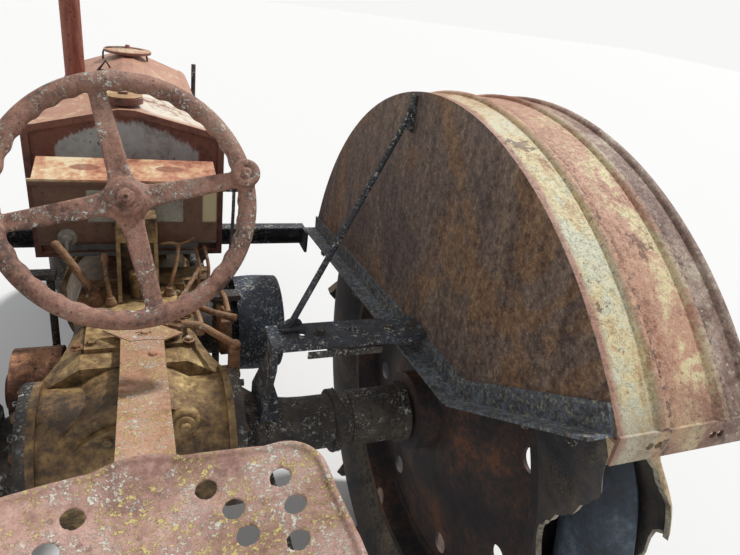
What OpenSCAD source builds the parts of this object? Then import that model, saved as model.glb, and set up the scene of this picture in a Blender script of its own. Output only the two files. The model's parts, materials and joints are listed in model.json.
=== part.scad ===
// Vintage row-crop farm tractor, standing on its tyres.
// X points to the tractor's right, Y forward and Z up; the origin is on the ground
// under the middle of the whole machine. Lengths are in millimetres.

/* [Overall] */
// From the rear axle to the front kingpin
wheelbase = 1845; // [1765:10:2065]
// From the fenders' middle forward to the rear axle
axle_y = 35; // [20:1:40]
// From the fenders' middle back to the drawbar's end
rear_overhang = 850; // [760:10:950]
// From the tractor's middle to the middle of each rear tyre
rear_wheel_x = 745; // [740:1:790]
// From the tractor's middle to the middle of each front tyre
front_wheel_x = 142; // [138:1:165]

/* [Rear wheels] */
// Radius of a rear tyre over its lugs
rear_tyre_r = 700; // [680:1:705]
// Width of a rear tyre
rear_tyre_w = 250; // [235:1:260]
// Radius of the rear rim's bead seat
rear_rim_r = 457; // [420:1:480]
// Height of a rear lug
rear_lug_h = 28; // [15:1:35]
// Thickness of a rear lug
rear_lug_t = 30; // [20:1:40]
// Pairs of lugs round a rear tyre
rear_lug_pairs = 20; // [12:1:24]
// Angle of a lug to the axle
rear_lug_angle = 42; // [25:1:50]
// Thickness of the rim and the wheel disc
rear_disc_t = 9; // [6:0.5:12]
// Radius of a rear wheel's hub
rear_hub_r = 95; // [80:1:110]
// Radius of the rear axle shaft
rear_shaft_r = 36; // [28:0.5:42]

/* [Front wheels] */
// Radius of a front tyre over its ribs
front_tyre_r = 350; // [330:1:370]
// Width of a front tyre
front_tyre_w = 145; // [120:1:150]
// Radius of the front rim's bead seat
front_rim_r = 203; // [180:1:220]
// Height of a front tyre's ribs
front_rib_h = 10; // [6:1:14]
// Lean of each front wheel, nearer each other at the ground
front_camber = 3; // [0:0.5:4]
// Radius of the front stub axle
front_stub_r = 18; // [14:0.5:22]

/* [Front pedestal] */
// Radius of the upright under the front frame
upright_r = 42; // [34:1:46]
// Underside of the front frame
frame_z = 718; // [716:1:730]
// Height of the front frame's rails
frame_h = 80; // [60:1:100]
// Thickness of each frame rail
frame_t = 22; // [14:1:30]
// Distance between the rails' inner faces
frame_gap = 250; // [220:1:280]
// Radius of the head that holds the kingpin
head_r = 88; // [75:1:100]
// Radius of the kingpin
kingpin_r = 28; // [22:0.5:34]

/* [Rear fenders] */
// Radius of a fender's crown
fender_r = 746; // [742:1:770]
// Height of the crown's centre
fender_z = 711; // [705:1:730]
// From the tractor's middle to a fender's inner sheet
fender_x = 555; // [545:1:560]
// Width of a fender's crown
fender_w = 246; // [220:1:280]
// Thickness of the fender's sheet
sheet_t = 3; // [2:0.5:5]
// Radius of the beads pressed along the crown
bead_r = 9; // [6:0.5:12]
// Where the crown starts, from straight ahead
crown_from = 14; // [8:1:20]
// Where the crown ends, from straight ahead
crown_to = 141; // [130:1:150]
// Width of the angle iron along a fender's lower edge
edge_w = 42; // [30:1:50]

/* [Transmission] */
// Radius of the differential housing
case_r = 136; // [125:1:145]
// Half the width of the transmission case over the axle
case_half_w = 184; // [178:1:192]
// Half the width of the gear case ahead of it
case_w = 125; // [118:1:130]
// Top of the gear case
case_top = 862; // [850:1:880]
// Thickness of a bolted flange
flange_t = 20; // [14:1:26]
// Front end of the gear case, from the fenders' middle
case_front = 430; // [400:1:450]
// Radius of the axle housing's outer end
drum_r = 65; // [60:1:75]
// Outer end of the axle housing
housing_end = 600; // [590:1:606]

/* [Engine] */
// From the front kingpin back to the engine block's rear face
engine_back = 1030; // [1000:5:1060]
// Length of the engine block
engine_len = 490; // [440:5:520]
// Width of the engine block
engine_w = 250; // [220:1:280]
// Height of the crankshaft
crank_z = 610; // [590:1:640]
// Top of the cylinder block
block_top = 860; // [830:1:870]
// Height of the cylinder head
head_h = 85; // [70:1:95]
// Bottom of the oil pan
pan_z = 405; // [380:1:440]
// Radius of the clutch housing's bell
bell_r = 205; // [190:1:215]
// Radius of the exhaust stack
stack_r = 31; // [27:0.5:34]
// Top of the exhaust stack
stack_top = 1950; // [1700:10:2200]

/* [Sheet metal] */
// Width of the hood and tank
hood_w = 474; // [440:1:500]
// Height of the hood's shoulders
hood_top = 1218; // [1205:1:1230]
// Rise of the hood's ridge above its shoulders
hood_ridge = 46; // [30:1:56]
// Radius of the hood's shoulders
hood_corner = 26; // [20:1:40]
// Lower edge of the hood's sides
hood_z = 1010; // [990:1:1060]
// Rear face of the tank, from the fenders' middle
tank_y = 600; // [590:1:620]
// Length of the tank
tank_len = 380; // [340:1:390]
// Bottom of the tank
tank_z = 902; // [890:1:925]
// From the front kingpin back to the radiator shell's rear face
radiator_back = 380; // [360:1:400]
// Length of the radiator shell
radiator_len = 185; // [170:1:200]
// Slats in the grille
slats = 17; // [9:2:23]

/* [Driver's place] */
// Outer radius of the steering wheel
wheel_r = 228.5; // [215:0.5:240]
// Radius of the steering wheel's rim
rim_r = 18; // [14:0.5:20]
// Distance of the steering wheel's centre, from the fenders' middle
wheel_y = 81; // [70:1:100]
// Height of the steering wheel's centre
wheel_z = 1228; // [1200:1:1250]
// Tilt of the steering wheel from level
wheel_tilt = 60; // [55:1:65]
// Radius of the column's tube
column_r = 22; // [18:0.5:28]
// Width of the seat
seat_w = 476; // [440:1:500]
// Height of the seat pan's lowest point
seat_z = 975; // [960:1:990]
// Front edge of the seat, from the fenders' middle
seat_front = -308; // [-318:1:-298]
// Sideways place of the seat and its bar
seat_x = 16; // [-20:1:20]
// Turn of the loose seat pan on its bolt
seat_turn = 4.5; // [-6:0.5:6]
// Radius of the seat's dish
seat_dish = 700; // [600:10:900]
// Thickness of the seat pan
seat_t = 4; // [3:0.5:6]
// Radius of the seat's holes
seat_hole_r = 13.5; // [10:0.5:16]
// Width of the flat bar that carries the seat
bar_w = 86; // [70:1:100]
// Thickness of the flat bar
bar_t = 14; // [10:1:18]

/* [Belt pulley and drawbar] */
// Radius of the belt pulley
pulley_r = 130; // [115:1:138]
// Width of the belt pulley
pulley_w = 118; // [90:1:125]
// Distance of the pulley's shaft, from the fenders' middle
pulley_y = 420; // [410:1:440]
// Height of the pulley's shaft
pulley_z = 742; // [730:1:760]
// Height of the drawbar
drawbar_z = 430; // [400:1:460]
// Width of the drawbar
drawbar_w = 76; // [60:1:90]
// Radius of the drawbar's pin hole
hitch_r = 13; // [10:0.5:16]

/* [Hidden] */

$fn = 48;
fit = 0.3;         // gap between a moving piece and its seat
run_gap = 0.06;    // radial gap of a shaft in its bearing
eps = 0.01;

// Seat holes on the right half, as distances from the middle and behind the front edge
seat_holes = [[77, 91], [105, 130], [114, 176], [168, 91], [177, 140], [168, 196]];

// The machine's middle along Y, so that its box is centred on the origin
kingpin_y = axle_y + wheelbase;
front_reach = kingpin_y + front_tyre_r;
middle_y = (rear_overhang - front_reach) / 2;
rear_axle_z = rear_tyre_r;

// A front tyre's tread leans with the wheel, so its inner edge is the lowest
front_tread_w = front_tyre_w * 0.66;
front_axle_z = front_tyre_r * cos(front_camber) + front_tread_w / 2 * sin(front_camber);

rear_tread_r = rear_tyre_r - rear_lug_h;
rear_tread_w = rear_tyre_w * 0.8;
rear_bead_w = rear_tyre_w * 0.64;
front_bead_w = front_tyre_w * 0.7;
rear_flange_h = 22;         // height of the rear rim's flanges over the bead seat
front_flange_h = 14;
rear_well_h = 40;           // depth of the rear rim's well
front_well_h = 22;
case_top_w = case_w - 21;   // half its flat top
flare_r = 200;              // it widens to the axle in a hollow curve
flare_y = 270;
barrel_r = 172;             // round rear end, level with the top
barrel_z = case_top - barrel_r;
barrel_y = -50;             // its rear face
shaft_z = 620;              // height of the power shaft
flange_r = case_r + 14;     // flanges between the case and the axle housings
flange_proud = 14;          // how far the case's front flange stands out
pad_x = case_w + flange_proud;  // faces that the pulley case and the brake bolt to
cover_top = case_top + 10;  // top of the cover plate under the levers
neck_r = drum_r - 3;        // the axle housing's narrowest radius
collar_x = 415;             // its collar, from the middle
saddle_x = case_half_w + flange_t + 36;  // what stands on the housing or hangs from it
head_x = engine_w / 2;
engine_y = kingpin_y - engine_back;
radiator_y = kingpin_y - radiator_back;
stack_y = engine_y + engine_len - 40;
tank_end = tank_y + tank_len;
tank_border = 14;           // depth of the rolled border round its rear face
cover_rise = 34;            // the valve cover's straight side
cover_r = 48;               // and its round top
engine_end = engine_y + engine_len;
head_top = block_top + head_h;
frame_top = frame_z + frame_h;
rail_x = frame_gap / 2 + frame_t / 2;
stack_x = -165;
jacket_r = 34;              // cylinder jackets on the block's right
jacket_x = head_x - 8;      // their centre
side_cover_t = 10;
manifold_x = -head_x - 38;
manifold_z = block_top + head_h * 0.45;
manifold_r = 30;
carb_y = engine_y + 245;
carb_z = crank_z + 92;      // underside of the carburettor's bowl
carb_pad_z = manifold_z - manifold_r - 14;
hose_z = hood_top - 110;    // the upper water pipe
hose_r = 30;
outlet_y = engine_y + engine_len - 70;
lower_hose_r = 22;          // the lower water pipe passes beside the fan
fan_z = block_top + 40;       // height of the water pump's shaft
pump_len = 52;
tank_step_y = min(engine_y - 14, tank_end - 40);  // ahead of this its underside is raised
tank_step_z = head_top + cover_rise + cover_r + 14;
brake_y = 295;
brake_z = 674;
brake_r = 98;
cross_y = engine_y - 130;   // middle of the front crossmember
cross_h = 52;
cross_z = tank_z - cross_h; // its underside
rear_cross_y = -65;
rear_cross_z = 1018;        // its top
rear_cross_w = 70;
rear_cross_h = 16;
dash_y = 452;
cap_x = -8;                 // the filler cap, from the middle
hood_in = 16;               // the hood is this much smaller than the tank all round
hood_fall = 14;             // and its shoulders are rounder
shell_w = hood_w - 2 * hood_in;
pulley_x = 246;             // inner edge of the belt pulley
pulley_shaft_r = 20;
column_dir = [0, sin(wheel_tilt), -cos(wheel_tilt)];
pedestal_y = 400;
pedestal_x = 12;
seat_low_y = seat_front - 219;  // the pan's lowest point
seat_slip = 5;              // the loose pan has slipped sideways
steer_x = head_x + 45;      // the long steering shaft runs on the engine's right
steer_z = frame_top - 23;
steer_r = 13;
drop_y = 545;               // where it leaves the clutch housing
radiator_z = frame_top + fit;
fender_rear = [fender_r * cos(crown_to), fender_z + fender_r * sin(crown_to)];
fender_front = [fender_r * cos(crown_from), fender_z + fender_r * sin(crown_from)];
fender_knee = [-270, 981];
edge_t = 5;                 // thickness of the angle iron

// Placing helpers

// Everything below is placed from the fenders' middle, on the ground
module from_middle() {
    translate([0, middle_y, 0])
        children();
}

// Draws children on the right side (1) or mirrored to the left (-1)
module on_side(side) {
    if (side > 0)
        children();
    else
        mirror([1, 0, 0])
            children();
}

module both_sides() {
    children();
    mirror([1, 0, 0])
        children();
}

// Turns a shape drawn flat in (y, z) upright, its thickness along X from x0
module side_view(x0) {
    translate([x0, 0, 0])
        rotate([90, 0, 90])
            children();
}

// Extrudes an outline drawn in (x, z) forward from y0
module forward(y0, len) {
    translate([0, y0 + len, 0])
        rotate([90, 0, 0])
            linear_extrude(len)
                children();
}

// A box given by its lowest and highest corners
module block(low, high) {
    translate(low)
        cube([high[0] - low[0], high[1] - low[1], high[2] - low[2]]);
}

// A round bar between two points, its seam turned off the machine's planes
module rod(p, q, r) {
    d = q - p;
    len = norm(d);
    translate(p)
        rotate([0, acos(d[2] / len), atan2(d[1], d[0])])
            rotate(25)
                cylinder(r = r, h = len);
}

// Bolt heads on a ring about the local Z axis
module bolt_ring(count, ring_r, head_r, head_h) {
    for (i = [0:count - 1])
        rotate(i * 360 / count)
            translate([ring_r, 0, 0])
                cylinder(r = head_r, h = head_h, $fn = 6);
}

// Tyres

// A tyre's section: round sidewalls, a flat tread and beads that sit between the rim's flanges
module tyre_section(rim_r, tread_r, w, bead_w, flange_h) {
    bore_r = rim_r + fit;
    wall_r = w * 0.55;
    wall_at = bore_r + (tread_r - bore_r) * 0.5;
    difference() {
        intersection() {
            translate([bore_r, -w / 2])
                square([tread_r - bore_r, w]);
            translate([wall_at, 0])
                circle(r = wall_r);
        }
        for (s = [-1, 1])
            translate([bore_r - 1, s > 0 ? bead_w / 2 - fit : -w])
                square([flange_h + 1, w - bead_w / 2 + fit]);
    }
}

module rear_tyre(side) {
    color("#2b2927")
        from_middle()
            on_side(side)
                translate([0, axle_y, rear_axle_z])
                    side_view(rear_wheel_x) {
                        rotate_extrude()
                            tyre_section(rear_rim_r, rear_tread_r, rear_tyre_w, rear_bead_w,
                                rear_flange_h);
                        rear_lugs();
                    }
}

// Two rows of slanting bars whose tips lie on the tyre's full radius
module rear_lugs() {
    root = 14;
    reach = rear_tyre_w / 2 - 8;
    bar_len = reach / cos(rear_lug_angle);
    intersection() {
        cylinder(r = rear_tyre_r, h = rear_tyre_w, center = true, $fn = 96);
        for (i = [0:rear_lug_pairs - 1], row = [0, 1])
            rotate((i + row / 2) * 360 / rear_lug_pairs)
                mirror([0, 0, row])
                    translate([rear_tread_r - root, 0, reach / 2])
                        rotate([rear_lug_angle, 0, 0])
                            translate([0, -rear_lug_t / 2, -bar_len / 2])
                                cube([rear_lug_h + root + 20, rear_lug_t, bar_len]);
    }
}

module front_tyre(side) {
    rib = front_tread_w / 5;
    color("#2e2c2a")
        front_wheel_place(side)
            rotate_extrude() {
                tyre_section(front_rim_r, front_tyre_r - front_rib_h, front_tyre_w,
                    front_bead_w, front_flange_h);
                for (k = [-2, 0, 2])
                    translate([front_tyre_r - front_rib_h - 6, (k - 0.5) * rib])
                        square([front_rib_h + 6, rib]);
            }
}

// Wheels

// A rim's section: two flanged bead seats with a well between them
module rim_section(seat_r, bead_w, t, flange_h, well_h) {
    well_w = bead_w * 0.4;
    for (s = [-1, 1]) {
        translate([seat_r - t, s > 0 ? well_w / 2 : -bead_w / 2])
            square([t, (bead_w - well_w) / 2]);
        translate([seat_r - t, s > 0 ? bead_w / 2 - eps : -bead_w / 2 - t + eps])
            square([t + flange_h, t]);
        translate([seat_r - well_h, s > 0 ? well_w / 2 - t : -well_w / 2])
            square([well_h, t]);
    }
    translate([seat_r - well_h, -well_w / 2])
        square([t, well_w]);
}

module rear_wheel(side) {
    dish_r = rear_rim_r - rear_well_h;
    hub_in = housing_end + 12 - rear_wheel_x;
    disc_at = hub_in + 50;
    rim_at = -rear_bead_w * 0.2 + 3;
    holes = 8;
    color("#8a4a28")
        from_middle()
            on_side(side)
                translate([0, axle_y, rear_axle_z])
                    side_view(rear_wheel_x) {
                        difference() {
                            rotate_extrude() {
                                rim_section(rear_rim_r, rear_bead_w, rear_disc_t, rear_flange_h,
                                    rear_well_h);
                                polygon([[rear_hub_r - 20, disc_at],
                                    [rear_hub_r + 60, disc_at],
                                    [dish_r - 90, rim_at],
                                    [dish_r + 2, rim_at],
                                    [dish_r + 2, rim_at + rear_disc_t],
                                    [dish_r - 94, rim_at + rear_disc_t],
                                    [rear_hub_r + 56, disc_at + rear_disc_t],
                                    [rear_hub_r - 20, disc_at + rear_disc_t]]);
                            }
                            for (i = [0:holes - 1])
                                rotate((i + 0.5) * 360 / holes)
                                    translate([dish_r - 50, 0, rim_at - 15])
                                        cylinder(r = 26, h = 40);
                        }
                        // Hub, its bolt flange and the shaft that runs in the housing
                        translate([0, 0, hub_in])
                            cylinder(r = rear_hub_r, h = 130);
                        translate([0, 0, disc_at + rear_disc_t - eps])
                            cylinder(r = rear_hub_r + 45, h = 16);
                        translate([0, 0, disc_at + rear_disc_t + 16 - eps])
                            bolt_ring(8, rear_hub_r + 24, 13, 12);
                        translate([0, 0, hub_in - 120])
                            cylinder(r = rear_shaft_r, h = 330);
                    }
}

// Places a front wheel's own frame: its axis is the stub axle, leaning by the camber
module front_wheel_place(side) {
    from_middle()
        on_side(side)
            translate([front_wheel_x, kingpin_y, front_axle_z])
                rotate([0, front_camber, 0])
                    rotate([90, 0, 90])
                        children();
}

module front_wheel(side) {
    t = 6;
    dish_r = front_rim_r - front_well_h;
    hub_r = 44;
    disc_at = -8;
    color("#8c4c2a")
        front_wheel_place(side)
            difference() {
                union() {
                    rotate_extrude() {
                        rim_section(front_rim_r, front_bead_w, t, front_flange_h, front_well_h);
                        polygon([[hub_r - 6, disc_at + 12], [hub_r + 50, disc_at + 12],
                            [dish_r - 30, disc_at], [dish_r + 1, disc_at],
                            [dish_r + 1, disc_at + t], [dish_r - 28, disc_at + t],
                            [hub_r + 52, disc_at + 12 + t], [hub_r - 6, disc_at + 12 + t]]);
                    }
                    translate([0, 0, -48])
                        cylinder(r = hub_r, h = 108);
                    translate([0, 0, 60 - eps])
                        cylinder(r = hub_r - 12, h = 18);
                    translate([0, 0, disc_at + 12 + t - eps])
                        bolt_ring(6, hub_r + 24, 9, 9);
                }
                translate([0, 0, -50])
                    cylinder(r = front_stub_r + run_gap, h = 112);
            }
}

// The turning upright under the front frame, with the axle that carries both wheels
module front_upright() {
    lower_z = front_axle_z - 34;
    color("#4a3a30")
        from_middle() {
            translate([0, kingpin_y, lower_z])
                cylinder(r = upright_r, h = frame_z - 12 - lower_z);
            translate([0, kingpin_y, frame_z - 12 - eps])
                cylinder(r = upright_r + 20, h = 12 - fit);
            translate([0, kingpin_y, frame_z - 12])
                cylinder(r = kingpin_r, h = frame_h + 58);
            both_sides()
                translate([front_wheel_x, kingpin_y, front_axle_z])
                    rotate([0, front_camber, 0])
                        rotate([0, 90, 0]) {
                            translate([0, 0, -front_wheel_x])
                                cylinder(r = front_stub_r, h = front_wheel_x + 58);
                            translate([0, 0, -front_wheel_x])
                                cylinder(r = 34, h = front_wheel_x - 48 - fit);
                        }
        }
}

// Cast body

module transmission_case() {
    color("#8b7a58")
        from_middle()
            difference() {
                union() {
                    gear_case();
                    // Flanges of the axle housings, and the drum between them
                    translate([0, axle_y, rear_axle_z])
                        side_view(-case_half_w)
                            cylinder(r = case_r, h = 2 * case_half_w, $fn = 96);
                    both_sides()
                        translate([0, axle_y, rear_axle_z])
                            side_view(case_half_w - 14)
                                cylinder(r = flange_r, h = 14, $fn = 96);
                    forward(case_front - flange_t, flange_t)
                        gear_profile(-flange_proud);
                    // Pads for the belt pulley's case and for the brake
                    intersection() {
                        translate([0, pulley_y, pulley_z])
                            side_view(case_w / 2)
                                cylinder(r = 96, h = pad_x - case_w / 2, $fn = 96);
                        block([0, 0, 0], [pad_x, case_front, 2 * case_top]);
                    }
                    mirror([1, 0, 0])
                        translate([0, brake_y, brake_z])
                            side_view(case_w / 2)
                                cylinder(r = 58, h = pad_x - case_w / 2);
                    rear_cover();
                    // Cover plate on top, under the levers
                    block([-98, 150, case_top - eps], [98, case_front - flange_t, cover_top]);
                    both_sides()
                        for (k = [0:2])
                            translate([84, 170 + k * 112, cover_top - eps])
                                cylinder(r = 9, h = 8, $fn = 6);
                    // Drawbar's lug underneath
                    block([-60, -40, drawbar_z + 26], [60, 120, rear_axle_z - 110]);
                }
                // The axle's shafts pass into the case
                both_sides()
                    translate([0, axle_y, rear_axle_z])
                        side_view(case_half_w - 60)
                            cylinder(r = rear_shaft_r + 4, h = 61);
            }
}

// Gear case: narrow under the levers, widening to the axle in a hollow curve, round at its rear
module gear_case() {
    intersection() {
        translate([0, 0, barrel_z - 2 * barrel_r])
            linear_extrude(4 * barrel_r)
                difference() {
                    translate([-case_half_w, 0])
                        square([2 * case_half_w, case_front]);
                    for (s = [-1, 1])
                        translate([s * (case_w + flare_r), flare_y])
                            circle(r = flare_r, $fn = 96);
                    for (s = [0, 1])
                        mirror([s, 0])
                            translate([case_w, flare_y])
                                square([flare_r, case_front]);
                }
        forward(-1, case_front + 2)
            polygon([[-99, 470], [99, 470], [case_w, 510], [case_half_w, 570],
                [case_half_w, case_top - 52], [case_top_w, case_top], [-case_top_w, case_top],
                [-case_half_w, case_top - 52], [-case_half_w, 570], [-case_w, 510]]);
        union() {
            side_view(-case_half_w - 1)
                linear_extrude(2 * case_half_w + 2)
                    polygon([[axle_y + 60, 400], [case_front, 400], [case_front, case_top + 1],
                        [axle_y + 60, case_top + 1]]);
            translate([0, axle_y, rear_axle_z])
                side_view(-case_half_w - 1)
                    cylinder(r = case_r, h = 2 * case_half_w + 2, $fn = 96);
        }
    }
    translate([0, barrel_y, barrel_z])
        rotate([-90, 0, 0])
            cylinder(r = barrel_r, h = 180, $fn = 96);
}

// Cover on the round rear end, with a lip, its bolts, a plug and the power shaft
module rear_cover() {
    translate([0, barrel_y, barrel_z])
        rotate([-90, 0, 0])
            cylinder(r = barrel_r + 8, h = 12, $fn = 96);
    translate([0, barrel_y - 14, barrel_z])
        rotate([-90, 0, 0])
            cylinder(r = 150, h = 20, $fn = 96);
    translate([0, barrel_y - 14 + eps, barrel_z])
        rotate([90, 0, 0])
            rotate(22.5)
                bolt_ring(8, 132, 9, 8);
    translate([118, barrel_y - 22, barrel_z + 46])
        rotate([-90, 0, 0])
            cylinder(r = 14, h = 20);
    translate([0, barrel_y - 60, shaft_z])
        rotate([-90, 0, 0])
            cylinder(r = 48, h = 60);
    translate([0, barrel_y - 120, shaft_z])
        rotate([-90, 0, 0])
            cylinder(r = 17.5, h = 80);
}

// Section of the gear case, shrunk by inset on every side
module gear_profile(inset) {
    low = 470 + inset;
    top = case_top - inset;
    w = case_w - inset;
    polygon([[-w + 26, low], [w - 26, low], [w, low + 40], [w, top - 62], [w - 21, top],
        [-w + 21, top], [-w, top - 62], [-w, low + 40]]);
}

// Outer form of an axle housing: a flange, a hollow flare and a straight neck, grown by a clearance
module axle_cone(grow) {
    steps = 7;
    flare = 150;
    mouth = case_r - 8;
    side_view(case_half_w)
        rotate_extrude($fn = 96)
            polygon(concat(
                [[0, -grow], [flange_r + grow, -grow], [flange_r + grow, flange_t + grow]],
                [for (i = [0:steps])
                    let (a = 90 * i / steps)
                    [neck_r + (mouth - neck_r) * (1 - sin(a)) + grow,
                        flange_t + grow + flare * (1 - cos(a))]],
                [[neck_r + grow, collar_x - case_half_w], [neck_r - 7 + grow, collar_x - case_half_w + eps],
                    [neck_r - 7 + grow, housing_end - case_half_w - 140 + eps],
                    [0, housing_end - case_half_w - 140 + eps]]));
}

module axle_housings() {
    color("#5b5650")
        from_middle()
            both_sides()
                translate([0, axle_y, rear_axle_z])
                    difference() {
                        union() {
                            axle_cone(0);
                            side_view(collar_x)
                                cylinder(r = neck_r + 11, h = 16, $fn = 96);
                            side_view(housing_end - 140)
                                cylinder(r = drum_r, h = 140, $fn = 96);
                            side_view(housing_end - 16)
                                cylinder(r = drum_r + 8, h = 16, $fn = 96);
                            side_view(case_half_w + flange_t - eps)
                                bolt_ring(12, case_r + 1, 8, 9);
                        }
                        side_view(case_half_w - 1)
                            cylinder(r = rear_shaft_r + run_gap, h = housing_end - case_half_w + 2);
                    }
}

module clutch_housing() {
    cone_from = case_front;
    color("#86704e")
        from_middle() {
            translate([0, cone_from, crank_z + 40])
                rotate([-90, 0, 0])
                    cylinder(r1 = 128, r2 = bell_r - 10, h = engine_y - cone_from - 90, $fn = 96);
            translate([0, engine_y - 90 - eps, crank_z])
                rotate([-90, 0, 0])
                    cylinder(r = bell_r, h = 90, $fn = 96);
            translate([0, engine_y - 22, crank_z])
                rotate([-90, 0, 0])
                    cylinder(r = bell_r + 14, h = 22, $fn = 96);
            forward(cone_from, flange_t)
                gear_profile(-flange_proud);
            // Drop box where the steering shaft comes out on the right
            block([60, drop_y, steer_z - 40], [steer_x + 30, drop_y + 80, steer_z + 40]);
            // Pads under the tank's crossmember
            both_sides()
                block([40, cross_y - 24, crank_z + 150], [90, cross_y + 24, cross_z]);
        }
}

// Engine

module engine_block() {
    bores = 4;
    pitch = engine_len / bores;
    color("#6b4a38")
        from_middle() {
            block([-head_x, engine_y, crank_z - 50], [head_x, engine_end, block_top]);
            // Cylinder jackets stand out on the right side
            for (i = [0:bores - 1])
                translate([jacket_x, engine_y + (i + 0.5) * pitch, crank_z + 60])
                    cylinder(r = jacket_r, h = block_top - crank_z - 90);
            // Head, valve cover and the plugs
            block([-head_x + 12, engine_y + 8, block_top - eps],
                [head_x - 12, engine_end - 8, head_top]);
            forward(engine_y + 24, engine_len - 48)
                valve_cover_profile();
            for (i = [0:bores - 1]) {
                translate([head_x - 38, engine_y + (i + 0.5) * pitch, head_top - eps])
                    cylinder(r = 11, h = 12, $fn = 6);
                translate([head_x - 38, engine_y + (i + 0.5) * pitch, head_top])
                    cylinder(r = 6, h = 42);
            }
            // Timing cover and the water pump
            translate([0, engine_end - eps, crank_z + 30])
                rotate([-90, 0, 0])
                    cylinder(r = 112, h = 34);
            translate([0, engine_end - 10, fan_z])
                rotate([-90, 0, 0])
                    cylinder(r = 46, h = pump_len + 10);
            // Side cover with its bolts
            block([head_x - eps, engine_y + 40, crank_z - 20],
                [head_x + side_cover_t, engine_end - 40, crank_z + 50]);
            for (i = [0:4])
                translate([head_x + side_cover_t - eps, engine_y + 60 + i * (engine_len - 120) / 4,
                    crank_z + 15])
                    rotate([0, 90, 0])
                        cylinder(r = 8, h = 7, $fn = 6);
            // Water outlet on the front of the head, with its pipe to the radiator
            translate([0, outlet_y, head_top - eps])
                cylinder(r = hose_r, h = hose_z - head_top);
            translate([0, outlet_y, hose_z])
                sphere(r = hose_r + 4);
            translate([0, outlet_y, hose_z])
                rotate([-90, 0, 0])
                    cylinder(r = hose_r, h = radiator_y - 29 - fit - outlet_y);
        }
}

module valve_cover_profile() {
    z0 = head_top - eps;
    translate([-30 - cover_r, z0])
        square([2 * cover_r, cover_rise]);
    translate([-30, z0 + cover_rise])
        intersection() {
            circle(r = cover_r);
            translate([-cover_r, -eps])
                square([2 * cover_r, cover_r]);
        }
}

module oil_pan() {
    color("#5a4636")
        from_middle() {
            forward(engine_y, engine_len - fit)
                polygon([[-98, pan_z], [98, pan_z], [122, pan_z + 60], [122, crank_z - 66],
                    [136, crank_z - 66], [136, crank_z - 50], [-136, crank_z - 50],
                    [-136, crank_z - 66], [-122, crank_z - 66], [-122, pan_z + 60]]);
            translate([0, engine_y + engine_len / 2, pan_z - 10])
                cylinder(r = 16, h = 12, $fn = 6);
        }
}

module manifold() {
    ports = 4;
    pitch = engine_len / ports;
    color("#6e3a26")
        from_middle() {
            translate([manifold_x, engine_y + 40, manifold_z])
                rotate([-90, 0, 0])
                    cylinder(r = manifold_r, h = engine_len - 60);
            for (i = [0:ports - 1])
                translate([-head_x + 12 - fit, engine_y + (i + 0.5) * pitch, manifold_z])
                    rotate([0, -90, 0])
                        cylinder(r = 21, h = -head_x + 12 - manifold_x);
            // Elbow that turns up to the stack
            translate([stack_x, stack_y, manifold_z - 20])
                cylinder(r = stack_r + 10, h = 70);
            translate([stack_x, stack_y, manifold_z + 50 - eps])
                cylinder(r = stack_r + 20, h = 14);
            // Pad that the carburettor hangs from
            translate([manifold_x, carb_y, carb_pad_z])
                cylinder(r = 26, h = manifold_z - carb_pad_z);
            translate([manifold_x, carb_y, carb_pad_z])
                cylinder(r = 38, h = 10);
        }
}

module exhaust_stack() {
    z0 = manifold_z + 64;
    color("#7d3b27")
        from_middle()
            translate([stack_x, stack_y, z0]) {
                difference() {
                    cylinder(r = stack_r, h = stack_top - z0);
                    translate([0, 0, stack_top - z0 - 120])
                        cylinder(r = stack_r - 3, h = 121);
                }
                cylinder(r = stack_r + 16, h = 12);
            }
}

module carburettor() {
    color("#6c6a64")
        from_middle()
            translate([manifold_x, carb_y, carb_z]) {
                cylinder(r = 34, h = 70);
                translate([0, 0, 70 - eps])
                    cylinder(r = 22, h = carb_pad_z - fit - carb_z - 70 + eps);
                translate([0, 0, carb_pad_z - fit - carb_z - 10])
                    cylinder(r = 38, h = 10);
                // Air horn that faces the cleaner
                translate([0, 0, 36])
                    rotate([90, 0, 0])
                        cylinder(r = 24, h = 70);
            }
}

module air_cleaner() {
    r = 62;
    y = engine_y + r + 3;
    x = -head_x - r - 4;
    color("#4d443c")
        from_middle() {
            translate([x, y, crank_z + 10])
                cylinder(r = r, h = 175);
            translate([x, y, crank_z + 185 - eps])
                cylinder(r = 40, h = 40);
            translate([x, y, crank_z - 10])
                cylinder(r = 52, h = 22);
            // Duct to the carburettor
            translate([manifold_x, y + r / 2, carb_z + 36])
                rotate([-90, 0, 0])
                    cylinder(r = 20, h = carb_y - 70 - fit - y - r / 2);
            // Bracket on the block's side
            block([x + r - 10, y - 14, crank_z + 60], [-head_x - fit, y + 14, crank_z + 90]);
        }
}

module magneto() {
    body_r = 34;
    cap_r = 42;
    x = jacket_x + jacket_r + cap_r + 2;
    y = engine_y + engine_len / 4 - 5;
    z = crank_z + 104;
    color("#55504a")
        from_middle() {
            translate([x, y - 10, z])
                rotate([-90, 0, 0])
                    cylinder(r = body_r, h = 100);
            translate([x, y - 40, z])
                rotate([-90, 0, 0])
                    cylinder(r = cap_r, h = 34);
            block([x - 30, y - 4, crank_z + 40], [x + 30, y + 70, z]);
            // Arm from the side cover
            block([head_x + side_cover_t + fit, y - 24, crank_z + 26], [x + 30, y + 20, crank_z + 46]);
        }
}

module fan() {
    y0 = engine_end + pump_len;
    blades = 4;
    reach = 150;
    color("#4f4a44")
        from_middle()
            translate([0, y0, fan_z])
                rotate([-90, 0, 0]) {
                    cylinder(r = 48, h = 26);
                    translate([0, 0, 26 - eps])
                        cylinder(r = 30, h = 20);
                    for (i = [0:blades - 1])
                        rotate(i * 360 / blades + 20)
                            translate([24, 0, 34])
                                rotate([28, 0, 0])
                                    translate([0, -32, -1.5])
                                        cube([reach - 24, 64, 3]);
                }
}

// Radiator and sheet metal

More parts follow.
